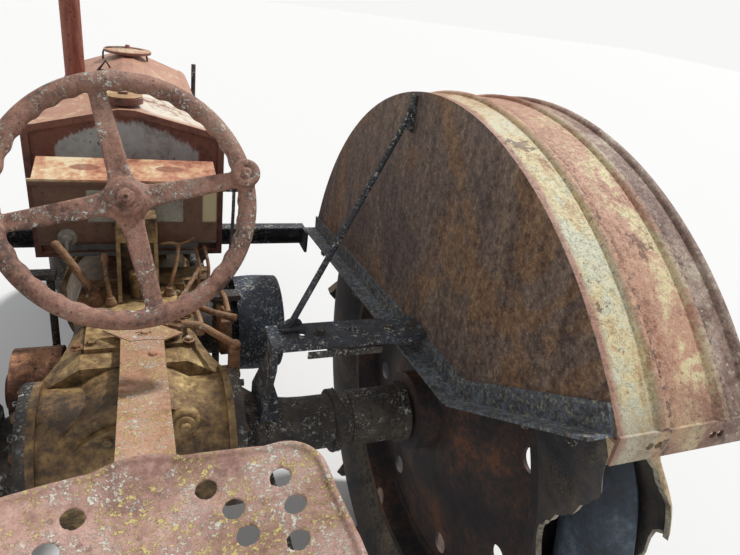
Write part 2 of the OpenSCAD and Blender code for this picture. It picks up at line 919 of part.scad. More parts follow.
// Round shoulders and a ridge; inset shrinks it on all sides, fall lowers and rounds the shoulders
module hood_profile(inset, bottom, fall = 0) {
    half = hood_w / 2 - inset;
    corner = hood_corner + 2 * fall - inset;
    top = hood_top - inset - fall;
    ridge = hood_top - inset + hood_ridge;
    translate([-half, bottom])
        square([2 * half, top - corner - bottom]);
    translate([-half + corner, top - corner - eps])
        square([2 * (half - corner), corner + eps]);
    for (s = [-1, 1])
        translate([s * (half - corner), top - corner])
            circle(r = corner);
    polygon([[-half + corner, top - eps], [half - corner, top - eps],
        [half * 0.08, ridge], [-half * 0.08, ridge]]);
}

module radiator() {
    wall = 4;
    color("#6d3626")
        from_middle() {
            difference() {
                forward(radiator_y, radiator_len)
                    hood_profile(hood_in, radiator_z, hood_fall);
                forward(radiator_y - 1, radiator_len + 2)
                    square_window(wall + 18);
            }
            // Core with its tanks, seated in the shell
            block([-shell_w / 2 + wall + 18, radiator_y + 30, radiator_z + 22],
                [shell_w / 2 - wall - 18, radiator_y + 140 - fit, hood_top - 78]);
            // Upper neck on the engine's side, and the lower pipe
            translate([0, radiator_y + 31, hose_z])
                rotate([90, 0, 0])
                    cylinder(r = hose_r, h = 60);
            lower_hose();
        }
}

// Pipe from the radiator's foot that bends inward to the block's front face
module lower_hose() {
    r = lower_hose_r;
    far = [172, engine_end + 36, frame_top + 44];
    near = [100, engine_end + 36, frame_top + 14];
    translate(far)
        rotate([-90, 0, 0])
            cylinder(r = r, h = radiator_y + 31 - far[1]);
    rod(far, near, r);
    for (p = [far, near])
        translate(p)
            sphere(r = r + 4);
    translate([near[0], engine_end + fit, near[2]])
        rotate([-90, 0, 0]) {
            cylinder(r = r, h = 36);
            cylinder(r = r + 6, h = 8);
        }
}

// The opening of the radiator shell, drawn in (x, z)
module square_window(edge) {
    translate([-shell_w / 2 + edge, radiator_z + 22])
        square([shell_w - 2 * edge, hood_top - 78 - radiator_z - 22]);
}

module grille() {
    edge = 22;
    z0 = radiator_z + 22;
    z1 = hood_top - 78;
    bar = 7;
    half = shell_w / 2 - edge;
    y0 = radiator_y + 140;
    color("#74402c")
        from_middle() {
            for (s = [0, 1])
                block([-half, y0, s ? z1 - 14 : z0], [half, y0 + 16, s ? z1 : z0 + 14]);
            for (i = [0:slats - 1])
                block([-half + i * (2 * half - bar) / (slats - 1), y0, z0],
                    [-half + i * (2 * half - bar) / (slats - 1) + bar, y0 + 16, z1]);
        }
}

module radiator_cap() {
    y = radiator_y + 70;
    z0 = hood_top + hood_ridge - hood_in;
    color("#6a3a2c")
        from_middle()
            translate([0, y, z0]) {
                cylinder(r = 46, h = 9);
                translate([0, 0, 9 - eps])
                    cylinder(r = 84, h = 9);
                translate([0, 0, 18 - eps])
                    cylinder(r1 = 78, r2 = 24, h = 6);
                translate([0, 0, 24 - eps])
                    cylinder(r1 = 12, r2 = 7, h = 12);
            }
}

module hood() {
    color("#7a3b2a")
        from_middle()
            difference() {
                forward(tank_end + fit, radiator_y - tank_end - 2 * fit)
                    hood_profile(hood_in, hood_z, hood_fall);
                forward(tank_end - 1, radiator_y - tank_end + 2)
                    hood_profile(hood_in + sheet_t, hood_z - 1, hood_fall);
                // Hole that the stack passes through
                translate([stack_x, stack_y, hood_top - 80])
                    cylinder(r = stack_r + 9, h = 200);
            }
}

module fuel_tank() {
    border = tank_border;
    color("#74402f")
        from_middle() {
            forward(tank_y + border, tank_step_y - tank_y - border)
                hood_profile(2, tank_z);
            forward(tank_step_y - eps, tank_end - tank_step_y + eps)
                hood_profile(2, tank_step_z);
            // Rolled border round the rear face, and the skirt under it
            difference() {
                forward(tank_y, border + eps)
                    hood_profile(0, tank_z - 34);
                forward(tank_y - 1, border + 1)
                    hood_profile(16, tank_z - 22);
            }
            // Filler with its cap
            translate([cap_x, tank_y + 66, hood_top + hood_ridge - 24])
                cylinder(r = 34, h = 30);
            translate([cap_x, tank_y + 66, hood_top + hood_ridge + 6 - eps])
                cylinder(r = 48, h = 15);
        }
}

module dash_box() {
    z0 = 965;
    half = 203;
    back = tank_y + tank_border - fit;
    color("#6f4030")
        from_middle() {
            side_view(-half)
                linear_extrude(2 * half)
                    polygon([[dash_y, z0 + 14], [dash_y + 14, z0], [back, z0],
                        [back, 1132], [dash_y + 108, 1132], [dash_y + 106, 1154], [dash_y, 1136]]);
            // Lip under the sloping lid
            block([-half - 8, dash_y - 5, 1122], [half + 8, dash_y + eps, 1136]);
        }
}

// Fenders and their carriers

module fender(side) {
    color("#a2522e")
        from_middle()
            on_side(side) {
                // Inner sheet, bounded by the crown's circle and the lower edge
                side_view(fender_x - sheet_t)
                    linear_extrude(sheet_t)
                        fender_sheet();
                // Crown: a curved strip with two raised beads and a turned lip
                translate([0, 0, fender_z])
                    side_view(fender_x - sheet_t)
                        rotate(crown_from)
                            rotate_extrude(angle = crown_to - crown_from, $fn = 120)
                                crown_section();
                // Angle iron along the lower edge
                fender_edge(fender_front, fender_knee);
                fender_edge(fender_knee, fender_rear);
                fender_end();
            }
}

module fender_sheet() {
    far = 2 * fender_r;
    intersection() {
        translate([0, fender_z])
            circle(r = fender_r - sheet_t, $fn = 120);
        polygon([fender_front, fender_knee, fender_rear, [-far, fender_rear[1] + 300],
            [-far, far * 2], [far, far * 2], [far, fender_front[1] + 60]]);
    }
}

module crown_section() {
    translate([fender_r - sheet_t, 0])
        square([sheet_t, fender_w]);
    for (at = [0.3, 0.72, 1 - (bead_r + 3) / fender_w])
        translate([fender_r - sheet_t / 2, fender_w * at])
            intersection() {
                circle(r = bead_r);
                translate([0, -bead_r])
                    square([bead_r, 2 * bead_r]);
            }
}

// Angle iron across the crown's rear end, its slotted leg hanging down
module fender_end() {
    drop = 44;
    leg = 30;
    x0 = fender_x - sheet_t + 1;
    x1 = x0 + fender_w - 2;
    translate([0, fender_rear[0] - 3, fender_rear[1]])
        difference() {
            union() {
                block([x0, 0, -drop], [x1, edge_t, 1]);
                block([x0, eps, -12], [x1, leg, -12 + edge_t]);
            }
            for (x = [62, 172])
                translate([fender_x + x, -1, -drop / 2])
                    rotate([-90, 0, 0])
                        linear_extrude(edge_t + 2)
                            for (s = [-1, 1])
                                translate([s * 7, 0])
                                    circle(r = 6);
        }
}

// One leg of the angle iron, flat against the inner sheet
module fender_edge(p, q) {
    d = q - p;
    start = 6;
    side_view(fender_x - sheet_t - edge_t)
        translate(p)
            rotate(atan2(d[1], d[0]))
                linear_extrude(edge_t)
                    translate([start, -edge_w])
                        square([norm(d) - 2 * start, edge_w]);
    side_view(fender_x - sheet_t - edge_w)
        translate(p)
            rotate(atan2(d[1], d[0]))
                linear_extrude(edge_w)
                    translate([start, -edge_t])
                        square([norm(d) - 2 * start, edge_t]);
}

module fender_struts() {
    foot = [278, rear_cross_y + 22, rear_cross_z + fit];
    top = [fender_x - sheet_t - fit, 114, fender_z + fender_r * 0.95];
    color("#3b3836")
        from_middle()
            both_sides() {
                rod(foot + [4, 2, 9], top - [12, 6, 9], 7);
                block(foot - [18, 12, 0], foot + [22, 14, 16]);
                block(top - [22, 20, 22], top + [0, 14, 12]);
            }
}

module rear_crossmember() {
    inner = 235;
    outer = fender_x - sheet_t - edge_t - fit;
    color("#4c4a48")
        from_middle()
            both_sides() {
                // Channel, open below
                difference() {
                    block([inner, rear_cross_y - rear_cross_w / 2, rear_cross_z - rear_cross_h],
                        [outer, rear_cross_y + rear_cross_w / 2, rear_cross_z]);
                    block([inner - 1, rear_cross_y - rear_cross_w / 2 + 6,
                        rear_cross_z - rear_cross_h - 1],
                        [outer + 1, rear_cross_y + rear_cross_w / 2 - 6, rear_cross_z - 6]);
                    for (x = [300, 400, 500])
                        translate([x, rear_cross_y, rear_cross_z - 10])
                            cylinder(r = 7, h = 20);
                }
                // Plate that leans forward to the axle housing, with a saddle on it
                difference() {
                    union() {
                        side_view(saddle_x)
                            linear_extrude(10)
                                polygon([[rear_cross_y - 29, rear_cross_z - 6 + eps],
                                    [rear_cross_y - 29, rear_cross_z - 60],
                                    [axle_y - 46, rear_axle_z + 40], [axle_y + 46, rear_axle_z + 40],
                                    [axle_y + 46, rear_axle_z + 100],
                                    [rear_cross_y + 29, rear_cross_z - 60],
                                    [rear_cross_y + 29, rear_cross_z - 6 + eps]]);
                        block([saddle_x, axle_y - 46, rear_axle_z + 40],
                            [saddle_x + 50, axle_y + 46, rear_axle_z + 86]);
                    }
                    translate([0, axle_y, rear_axle_z])
                        axle_cone(fit);
                }
            }
}

module front_crossmember() {
    outer = fender_x - sheet_t - edge_w - fit;
    color("#5a3a2c")
        from_middle() {
            difference() {
                block([-outer, cross_y - 20, cross_z], [outer, cross_y + 20, cross_z + cross_h]);
                block([-outer - 1, cross_y - 21, cross_z + 5],
                    [outer + 1, cross_y + 14, cross_z + cross_h - 5]);
            }
            // Plates that the fenders' angle irons bolt to
            both_sides()
                block([outer - 8, cross_y - 60, cross_z - 14],
                    [outer, cross_y + 20, cross_z + cross_h]);
        }
}

// Seat

// The front edge is one wide arc with a round middle; its ends turn into the corners
module seat_outline(shrink) {
    front_r = 510;
    corner_r = 60;
    half = seat_w / 2;
    front_y = seat_front - 17 - front_r;
    corner_x = half - corner_r;
    corner_y = front_y + sqrt(pow(front_r - corner_r, 2) - pow(corner_x, 2));
    meet_x = corner_x * front_r / (front_r - corner_r);
    back_y = seat_low_y - 13;
    intersection() {
        translate([0, front_y])
            circle(r = front_r - shrink, $fn = 240);
        translate([-meet_x, corner_y])
            square([2 * meet_x, front_r]);
    }
    for (s = [-1, 1])
        translate([s * corner_x, corner_y])
            circle(r = corner_r - shrink);
    translate([0, seat_front - 150])
        circle(r = 150 - shrink, $fn = 96);
    translate([-half + shrink, back_y])
        square([2 * (half - shrink), corner_y - back_y]);
    translate([0, back_y])
        circle(r = half - shrink, $fn = 96);
}

// The pan's own frame, turned about the bolt under its lowest point
module seat_place() {
    from_middle()
        translate([seat_x + seat_slip, seat_low_y, 0])
            rotate(seat_turn)
                translate([0, -seat_low_y, 0])
                    children();
}

module seat_pan() {
    color("#8b6250")
        seat_place()
            difference() {
                union() {
                    seat_layer(seat_dish, seat_dish - seat_t, 0);
                    difference() {
                        seat_layer(seat_dish + 4, seat_dish - seat_t - 5, 0);
                        translate([0, 0, seat_z - 20])
                            linear_extrude(300)
                                seat_outline(10);
                    }
                }
                for (s = [-1, 1], at = seat_holes)
                    translate([s * at[0], seat_front - at[1], seat_z - 20])
                        cylinder(r = seat_hole_r, h = 200);
            }
}

// A dished sheet between two spheres, cut to the seat's outline
module seat_layer(outer, inner, shrink) {
    intersection() {
        translate([0, seat_low_y, seat_z + seat_dish])
            difference() {
                sphere(r = outer, $fn = 96);
                sphere(r = inner, $fn = 96);
            }
        translate([0, 0, seat_z - 20])
            linear_extrude(200)
                seat_outline(shrink);
    }
}

module seat_bar() {
    foot = [200, case_top + 10];
    knee = [40, case_top + 12];
    rise = [seat_front + 4, seat_z - 10 - bar_t];
    tail = [seat_low_y - 55, seat_z - 10 - bar_t];
    color("#a27a44")
        from_middle() {
            side_view(seat_x - bar_w / 2)
                linear_extrude(bar_w)
                    polygon([foot, knee, rise, tail, tail + [0, bar_t], rise + [0, bar_t],
                        knee + [0, bar_t + 4], foot + [0, bar_t]]);
            // Spacer under the pan's lowest point
            translate([seat_x, seat_low_y, seat_z - 10 - eps])
                cylinder(r = 24, h = 10 - fit);
        }
}

// Steering

// Places a shape in the steering wheel's frame: Z is its axis, towards the driver
module wheel_place() {
    from_middle()
        translate([0, wheel_y, wheel_z])
            rotate([wheel_tilt, 0, 0])
                children();
}

module steering_wheel() {
    ring = wheel_r - rim_r;
    color("#85564a")
        wheel_place() {
            rotate_extrude($fn = 96)
                translate([ring, 0])
                    circle(r = rim_r);
            for (a = [102, 12, 282, 192])
                rotate(a)
                    translate([0, 0, -8])
                        linear_extrude(12)
                            polygon([[20, -30], [70, -17], [ring, -14], [ring, 14], [70, 17], [20, 30]]);
            translate([0, 0, -26])
                difference() {
                    cylinder(r = 35, h = 48);
                    translate([0, 0, -1])
                        cylinder(r = 14 + fit, h = 20);
                }
            translate([0, 0, 22 - eps])
                cylinder(r = 20, h = 14, $fn = 6);
            // Boss for a spinner knob on the right-hand spoke
            rotate(13)
                translate([ring + 2, 0, 0])
                    cylinder(r = 26, h = 36);
        }
}

module column_tube() {
    length = (pedestal_y - wheel_y) / sin(wheel_tilt) - 30;
    color("#5e4a3c")
        wheel_place() {
            translate([0, 0, -26 - length])
                cylinder(r = column_r, h = length - fit);
            translate([0, 0, -26 - fit - eps])
                cylinder(r = 14, h = 18);
        }
}

module column_pedestal() {
    top = wheel_z - (pedestal_y - wheel_y) / tan(wheel_tilt);
    foot_z = case_top + flange_proud + fit;
    half = 46;
    lean = 74;                  // how far the foot lies behind the top
    color("#574336")
        from_middle() {
            // Channel of two leaning flanges and a web ahead of them
            for (x = [pedestal_x - half, pedestal_x + half - 9])
                side_view(x)
                    linear_extrude(9)
                        polygon([[pedestal_y + 4 - lean, foot_z], [pedestal_y + 24, foot_z],
                            [dash_y - 6, top + 16], [pedestal_y + 4, top + 16]]);
            side_view(pedestal_x - half)
                linear_extrude(2 * half)
                    polygon([[pedestal_y + 14, foot_z], [pedestal_y + 24, foot_z],
                        [dash_y - 6, top + 10], [dash_y - 16, top + 10]]);
            translate([pedestal_x, pedestal_y - 34, cover_top + fit])
                cylinder(r = 20, h = 66);
            difference() {
                block([pedestal_x - half + 4, pedestal_y - 26, top - 34],
                    [pedestal_x + half - 4, pedestal_y + 36, top + 26]);
                translate([0, wheel_y, wheel_z])
                    rotate([wheel_tilt, 0, 0])
                        translate([0, 0, -500])
                            cylinder(r = column_r + fit, h = 500);
            }
        }
}

// The long shaft from the clutch housing to the worm box on the front head
module steering_shaft() {
    y0 = drop_y + 80 + fit;
    y1 = kingpin_y - 42 - fit;
    color("#4b4540")
        from_middle() {
            translate([steer_x, y0, steer_z])
                rotate([-90, 0, 0])
                    cylinder(r = steer_r, h = y1 - y0);
            for (y = [y0, y1 - 40])
                translate([steer_x, y, steer_z])
                    rotate([-90, 0, 0])
                        cylinder(r = steer_r + 8, h = 40);
        }
}

// Cast rails from the engine to the head that holds the kingpin
module front_frame() {
    y0 = engine_end - 24;
    head_h = frame_top + 62 - frame_z;
    color("#5f4234")
        from_middle()
            difference() {
                union() {
                    both_sides() {
                        block([frame_gap / 2, y0, frame_z],
                            [frame_gap / 2 + frame_t, kingpin_y - 30, frame_top]);
                        // Foot that widens the rail under the radiator
                        block([frame_gap / 2 - 30, radiator_y, frame_z],
                            [frame_gap / 2 + eps, radiator_y + radiator_len, frame_z + 24]);
                    }
                    for (y = [radiator_y + 20, radiator_y + radiator_len + 40])
                        block([-frame_gap / 2 - eps, y, frame_z],
                            [frame_gap / 2 + eps, y + 40, frame_z + 40]);
                    block([-frame_gap / 2 - frame_t, kingpin_y - 52, frame_z],
                        [frame_gap / 2 + frame_t, kingpin_y + 20, frame_top]);
                    translate([0, kingpin_y, frame_z])
                        cylinder(r = head_r, h = head_h);
                    translate([0, kingpin_y, frame_z + head_h - eps])
                        bolt_ring(6, head_r - 18, 9, 8);
                    // Worm box on the head's right
                    block([head_r - 30, kingpin_y - 42, frame_top - 60],
                        [steer_x + 32, kingpin_y + 34, frame_top + 14]);
                }
                translate([0, kingpin_y, frame_z - 1])
                    cylinder(r = kingpin_r + run_gap, h = head_h - 10);
            }
}

// Levers and pedals

module gear_lever() {
    color("#6b5543")
        from_middle() {
            translate([-86, 344, cover_top + fit])
                cylinder(r1 = 16, r2 = 13, h = 26);
            rod([-91, 344, cover_top + 18], [-165, 396, 1002], 10);
            translate([-165, 396, 1002])
                sphere(r = 15);
        }
}

// Each hand lever as its foot, its upper end and its radius
hand_lever_rows = [
    [[-50, 330], [-62, 392, 962], 6],
    [[82, 366], [110, 420, 985], 6],
    [[62, 220], [150, 350, 950], 6]];

module hand_levers() {
    color("#7a5a44")
        from_middle() {
            for (row = hand_lever_rows) {
                foot = [row[0][0], row[0][1], cover_top + fit];
                translate(foot)
                    cylinder(r = 10, h = 16);
                rod(foot + [0, 0, 9], row[1], row[2]);
            }
            // Cross handle of the middle one
            rod([72, 420, 983], [140, 420, 989], 7);
        }
}

// A pedal on its shaft, with its arm and its pad
module pedal(side, foot, reach) {
    on_side(side) {
        rod([case_w + fit, foot[0], foot[1]], [196, foot[0], foot[1]], 9);
        rod([186, foot[0], foot[1]], [186, foot[0] + reach, 900], 9);
        block([172, foot[0] + reach - 17, 892], [242, foot[0] + reach + 17, 906]);
    }
}

module pedals() {
    color("#5d4a3a")
        from_middle() {
            pedal(-1, [400, 560], 40);
            pedal(1, [280, 620], 20);
        }
}

// Belt pulley, brake and drawbar

module pulley_case() {
    x1 = pulley_x - 2;
    x0 = pad_x + fit;
    color("#4a4743")
        from_middle()
            translate([0, pulley_y, pulley_z]) {
                side_view(x0)
                    cylinder(r = 92, h = 16, $fn = 96);
                side_view(x0)
                    cylinder(r = 78, h = x1 - x0 - 12, $fn = 96);
                side_view(x0)
                    cylinder(r = 60, h = x1 - x0, $fn = 96);
                // Shaft that the pulley turns on
                side_view(x1 - eps)
                    cylinder(r = pulley_shaft_r, h = pulley_w - 8);
            }
}

module belt_pulley() {
    wall = 8;
    bore = pulley_shaft_r + run_gap;
    color("#2a2a2b")
        from_middle()
            translate([0, pulley_y, pulley_z])
                side_view(pulley_x)
                    rotate_extrude($fn = 96) {
                        polygon([[pulley_r - wall, 0], [pulley_r - 3, 0],
                            [pulley_r, pulley_w * 0.4], [pulley_r, pulley_w * 0.6],
                            [pulley_r - 3, pulley_w], [pulley_r - wall, pulley_w]]);
                        translate([bore, pulley_w * 0.45])
                            square([pulley_r - wall - bore + eps, 9]);
                        translate([bore, -1])
                            square([22, pulley_w - 12]);
                    }
}

module brake_drum() {
    x0 = pad_x + fit;
    color("#7f4e34")
        from_middle()
            mirror([1, 0, 0])
                translate([0, brake_y, brake_z]) {
                    side_view(x0)
                        cylinder(r = 42, h = 28);
                    side_view(x0 + 20)
                        cylinder(r = brake_r, h = 102, $fn = 96);
                    side_view(x0 + 122 - eps)
                        cylinder(r = 40, h = 16);
                }
}

module drawbar() {
    color("#4d4036")
        from_middle()
            difference() {
                union() {
                    block([-drawbar_w / 2, -rear_overhang, drawbar_z],
                        [drawbar_w / 2, 100, drawbar_z + 26 - fit]);
                    // Cross bar on its hangers from the axle housings
                    block([-saddle_x - 20, axle_y - 365, drawbar_z - 20],
                        [saddle_x + 20, axle_y - 325, drawbar_z - fit]);
                    both_sides() {
                        block([saddle_x, axle_y - 365, drawbar_z - 20],
                            [saddle_x + 20, axle_y - 325, rear_axle_z - 60]);
                        block([saddle_x, axle_y - 365, rear_axle_z - 60 - eps],
                            [saddle_x + 20, axle_y - 10, rear_axle_z - 10]);
                    }
                }
                both_sides()
                    translate([0, axle_y, rear_axle_z])
                        axle_cone(fit);
                translate([0, -rear_overhang + 45, drawbar_z - 30])
                    cylinder(r = hitch_r, h = 80);
            }
}

transmission_case();
clutch_housing();
engine_block();
oil_pan();
manifold();
exhaust_stack();
carburettor();
air_cleaner();
magneto();
fan();
radiator();
grille();
radiator_cap();
hood();
fuel_tank();
dash_box();
front_frame();
axle_housings();
brake_drum();
pulley_case();
fender(-1);  // fender_left
fender(1);  // fender_right
fender_struts();
rear_crossmember();
front_crossmember();
seat_pan();
seat_bar();
column_tube();
column_pedestal();
steering_shaft();
gear_lever();
hand_levers();
pedals();
drawbar();
steering_wheel();
belt_pulley();
front_upright();
front_wheel(-1);  // front_wheel_left
front_wheel(1);  // front_wheel_right
front_tyre(-1);  // front_tyre_left
front_tyre(1);  // front_tyre_right
rear_wheel(-1);  // rear_wheel_left
rear_wheel(1);  // rear_wheel_right
rear_tyre(-1);  // rear_tyre_left
rear_tyre(1);  // rear_tyre_right
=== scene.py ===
# %% [markdown]
# A weathered row-crop tractor.
# The castings, wheels and sheet metal already exist as an exact model with its joints.
# This lesson opens that model as a fixed frame, gives every piece the finish that eighty
# years outdoors leave on it, and models by hand the pieces whose charm is in their wear:
# the scalloped steering wheel, the dished seat, the torn tyre and the small fittings.

# %% Open the frame
import json
import math

import bmesh
import bpy
from mathutils import Matrix, Vector


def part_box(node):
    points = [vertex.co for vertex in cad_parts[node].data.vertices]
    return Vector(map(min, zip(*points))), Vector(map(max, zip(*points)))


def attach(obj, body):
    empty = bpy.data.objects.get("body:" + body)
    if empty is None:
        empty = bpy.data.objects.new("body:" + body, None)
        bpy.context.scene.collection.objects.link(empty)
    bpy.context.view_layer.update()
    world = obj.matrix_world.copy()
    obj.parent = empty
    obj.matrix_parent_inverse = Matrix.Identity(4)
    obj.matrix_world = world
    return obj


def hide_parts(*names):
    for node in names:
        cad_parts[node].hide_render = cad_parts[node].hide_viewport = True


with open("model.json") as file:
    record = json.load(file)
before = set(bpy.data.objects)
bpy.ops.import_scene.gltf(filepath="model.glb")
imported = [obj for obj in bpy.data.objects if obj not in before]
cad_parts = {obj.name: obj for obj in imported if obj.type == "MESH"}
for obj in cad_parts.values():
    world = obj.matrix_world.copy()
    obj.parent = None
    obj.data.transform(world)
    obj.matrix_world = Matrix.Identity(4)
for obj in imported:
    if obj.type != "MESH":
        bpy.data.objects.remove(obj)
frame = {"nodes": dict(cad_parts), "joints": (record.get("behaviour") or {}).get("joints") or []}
nodes = frame["nodes"]
joints = {joint["name"]: joint for joint in frame["joints"]}
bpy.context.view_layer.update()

# %% [markdown]
# Everything the driver sees is easiest to measure from the middle of the two fenders, on
# the ground. The rear axle lies a hand's breadth ahead of it, and its place comes from the
# joint that the right rear wheel turns on, so a small helper can turn such distances into
# places in the frame.

# %% Measure from the fenders' middle
rear_axle = Vector(joints["rear_roll_right"]["pos_m"])
axle_ahead = 0.035
middle_y = rear_axle.y - axle_ahead


def at(x, y, z):
    """A place given in metres: right of the middle, ahead of the fenders' middle, above the ground."""
    return Vector((x, middle_y + y, z))


housing_middle = at(0, axle_ahead, 0.700)
case_top = 0.8722
print("The rear axle stands at", [round(v, 3) for v in rear_axle])

# %% [markdown]
# The camera stands behind the seat, high over its left edge, looking down and forward to
# the right, and rolled a little. The angles are turned into the camera's three axes with
# plain trigonometry.

# %% Set up the camera
camera_yaw = math.radians(23.812)
camera_pitch = math.radians(26.693)
camera_roll = math.radians(8.886)
camera_lens, sensor_width = 28.49, 36
camera_place = (0.0227, -0.968, 1.6296)
frame_width, frame_height = 740, 555


def camera_axes(yaw, pitch, roll):
    """The camera's right, up and forward directions."""
    ahead = Vector((math.sin(yaw) * math.cos(pitch), math.cos(yaw) * math.cos(pitch), -math.sin(pitch)))
    level = Vector((math.cos(yaw), -math.sin(yaw), 0))
    over = level.cross(ahead)
    right = math.cos(roll) * level + math.sin(roll) * over
    up = -math.sin(roll) * level + math.cos(roll) * over
    return right, up, ahead


camera_data = bpy.data.cameras.new("camera")
camera_data.lens = camera_lens
camera_data.sensor_width = sensor_width
camera_data.clip_end = 100
camera = bpy.data.objects.new("camera", camera_data)
bpy.context.scene.collection.objects.link(camera)
right, up, ahead = camera_axes(camera_yaw, camera_pitch, camera_roll)
camera_turn = Matrix((right, up, -ahead)).transposed().to_4x4()
camera.matrix_world = Matrix.Translation(at(*camera_place)) @ camera_turn
bpy.context.scene.camera = camera
print("The camera sees", frame_width, "by", frame_height, "pixels through", camera_lens, "mm")

# %% [markdown]
# A pale floor runs out of sight, and the background is white only to the camera and to
# mirrors, so it never adds light. A sun high on the right and a little ahead gives the
# slanting light of a bright day, and the world fills the shadows.

# %% Lay the floor and hang the lights
floor_size = 60
floor_grey, sky_blue, backdrop_white = (0.80, 0.79, 0.77, 1), (0.93, 0.96, 1.0, 1), (0.93, 0.93, 0.92, 1)
sun_strength, sun_spread, sun_direction = 2.7, 5, (-0.69, -0.30, -1.0)


def pale_floor():
    bpy.ops.mesh.primitive_plane_add(size=floor_size, location=(0, 0, 0))
    floor = bpy.context.object
    floor.name = "floor"
    material = bpy.data.materials.new("pale_floor")
    material.use_nodes = True
    shader = material.node_tree.nodes["Principled BSDF"]
    shader.inputs["Base Color"].default_value = floor_grey
    shader.inputs["Roughness"].default_value = 0.9
    floor.data.materials.append(material)


def studio_world(fill=0.52):
    world = bpy.data.worlds.new("studio")
    bpy.context.scene.world = world
    world.use_nodes = True
    tree = world.node_tree
    tree.nodes.clear()
    path = tree.nodes.new("ShaderNodeLightPath")
    seen = tree.nodes.new("ShaderNodeMath")
    seen.operation = "MAXIMUM"
    tree.links.new(path.outputs["Is Camera Ray"], seen.inputs[0])
    tree.links.new(path.outputs["Is Glossy Ray"], seen.inputs[1])
    chosen = tree.nodes.new("ShaderNodeMixShader")
    tree.links.new(seen.outputs[0], chosen.inputs[0])
    for entry, (tone, strength) in zip((1, 2), ((sky_blue, fill), (backdrop_white, 1.0))):
        light = tree.nodes.new("ShaderNodeBackground")
        light.inputs["Color"].default_value = tone
        light.inputs["Strength"].default_value = strength
        tree.links.new(light.outputs[0], chosen.inputs[entry])
    out = tree.nodes.new("ShaderNodeOutputWorld")
    tree.links.new(chosen.outputs[0], out.inputs["Surface"])


def hang_sun(name, strength, spread, direction):
    """A sun whose light travels along direction."""
    data = bpy.data.lights.new(name, "SUN")
    data.energy = strength
    data.angle = math.radians(spread)
    sun = bpy.data.objects.new(name, data)
    sun.rotation_euler = Vector(direction).to_track_quat("-Z", "Y").to_euler()
    bpy.context.scene.collection.objects.link(sun)


pale_floor()
studio_world()
hang_sun("key", sun_strength, sun_spread, sun_direction)
bpy.context.scene.view_settings.view_transform = "Standard"
print("The floor is", floor_size, "m wide")

# %% [markdown]
# Colours are given as the familiar 0 to 255 values, but shaders want linear light,
# so one helper converts them at the last moment, where a finish writes them on a node.


# %% Colours as the eye names them
def linear(tone):
    """Linear light from screen values between 0 and 255."""
    return tuple(pow((v / 255 + 0.055) / 1.055, 2.4) if v > 10 else v / 255 / 12.92 for v in tone)


def lighter(tone, lift=1.35):
    """Screen values of the same tone with more light."""
    return tuple(255 * (1.055 * pow(min(1.0, v * lift), 1 / 2.4) - 0.055) for v in linear(tone))


lichen_grey = (186, 184, 172)
lichen_white = (222, 220, 206)
lichen_yellow = (208, 190, 120)
# This soot-dark tone is also the painted shade under the castings.
soot_and_shade = (34, 29, 26)
print("Grey lichen is", [round(v, 2) for v in linear(lichen_grey)], "in linear light")

# %% [markdown]
# Rust, faded paint and lichen are all patches within patches, so each finish is a small
# tree of noises. A helper class keeps such a tree readable: it measures patterns in metres
# on the machine, and every method adds one or two nodes and hands back their output.


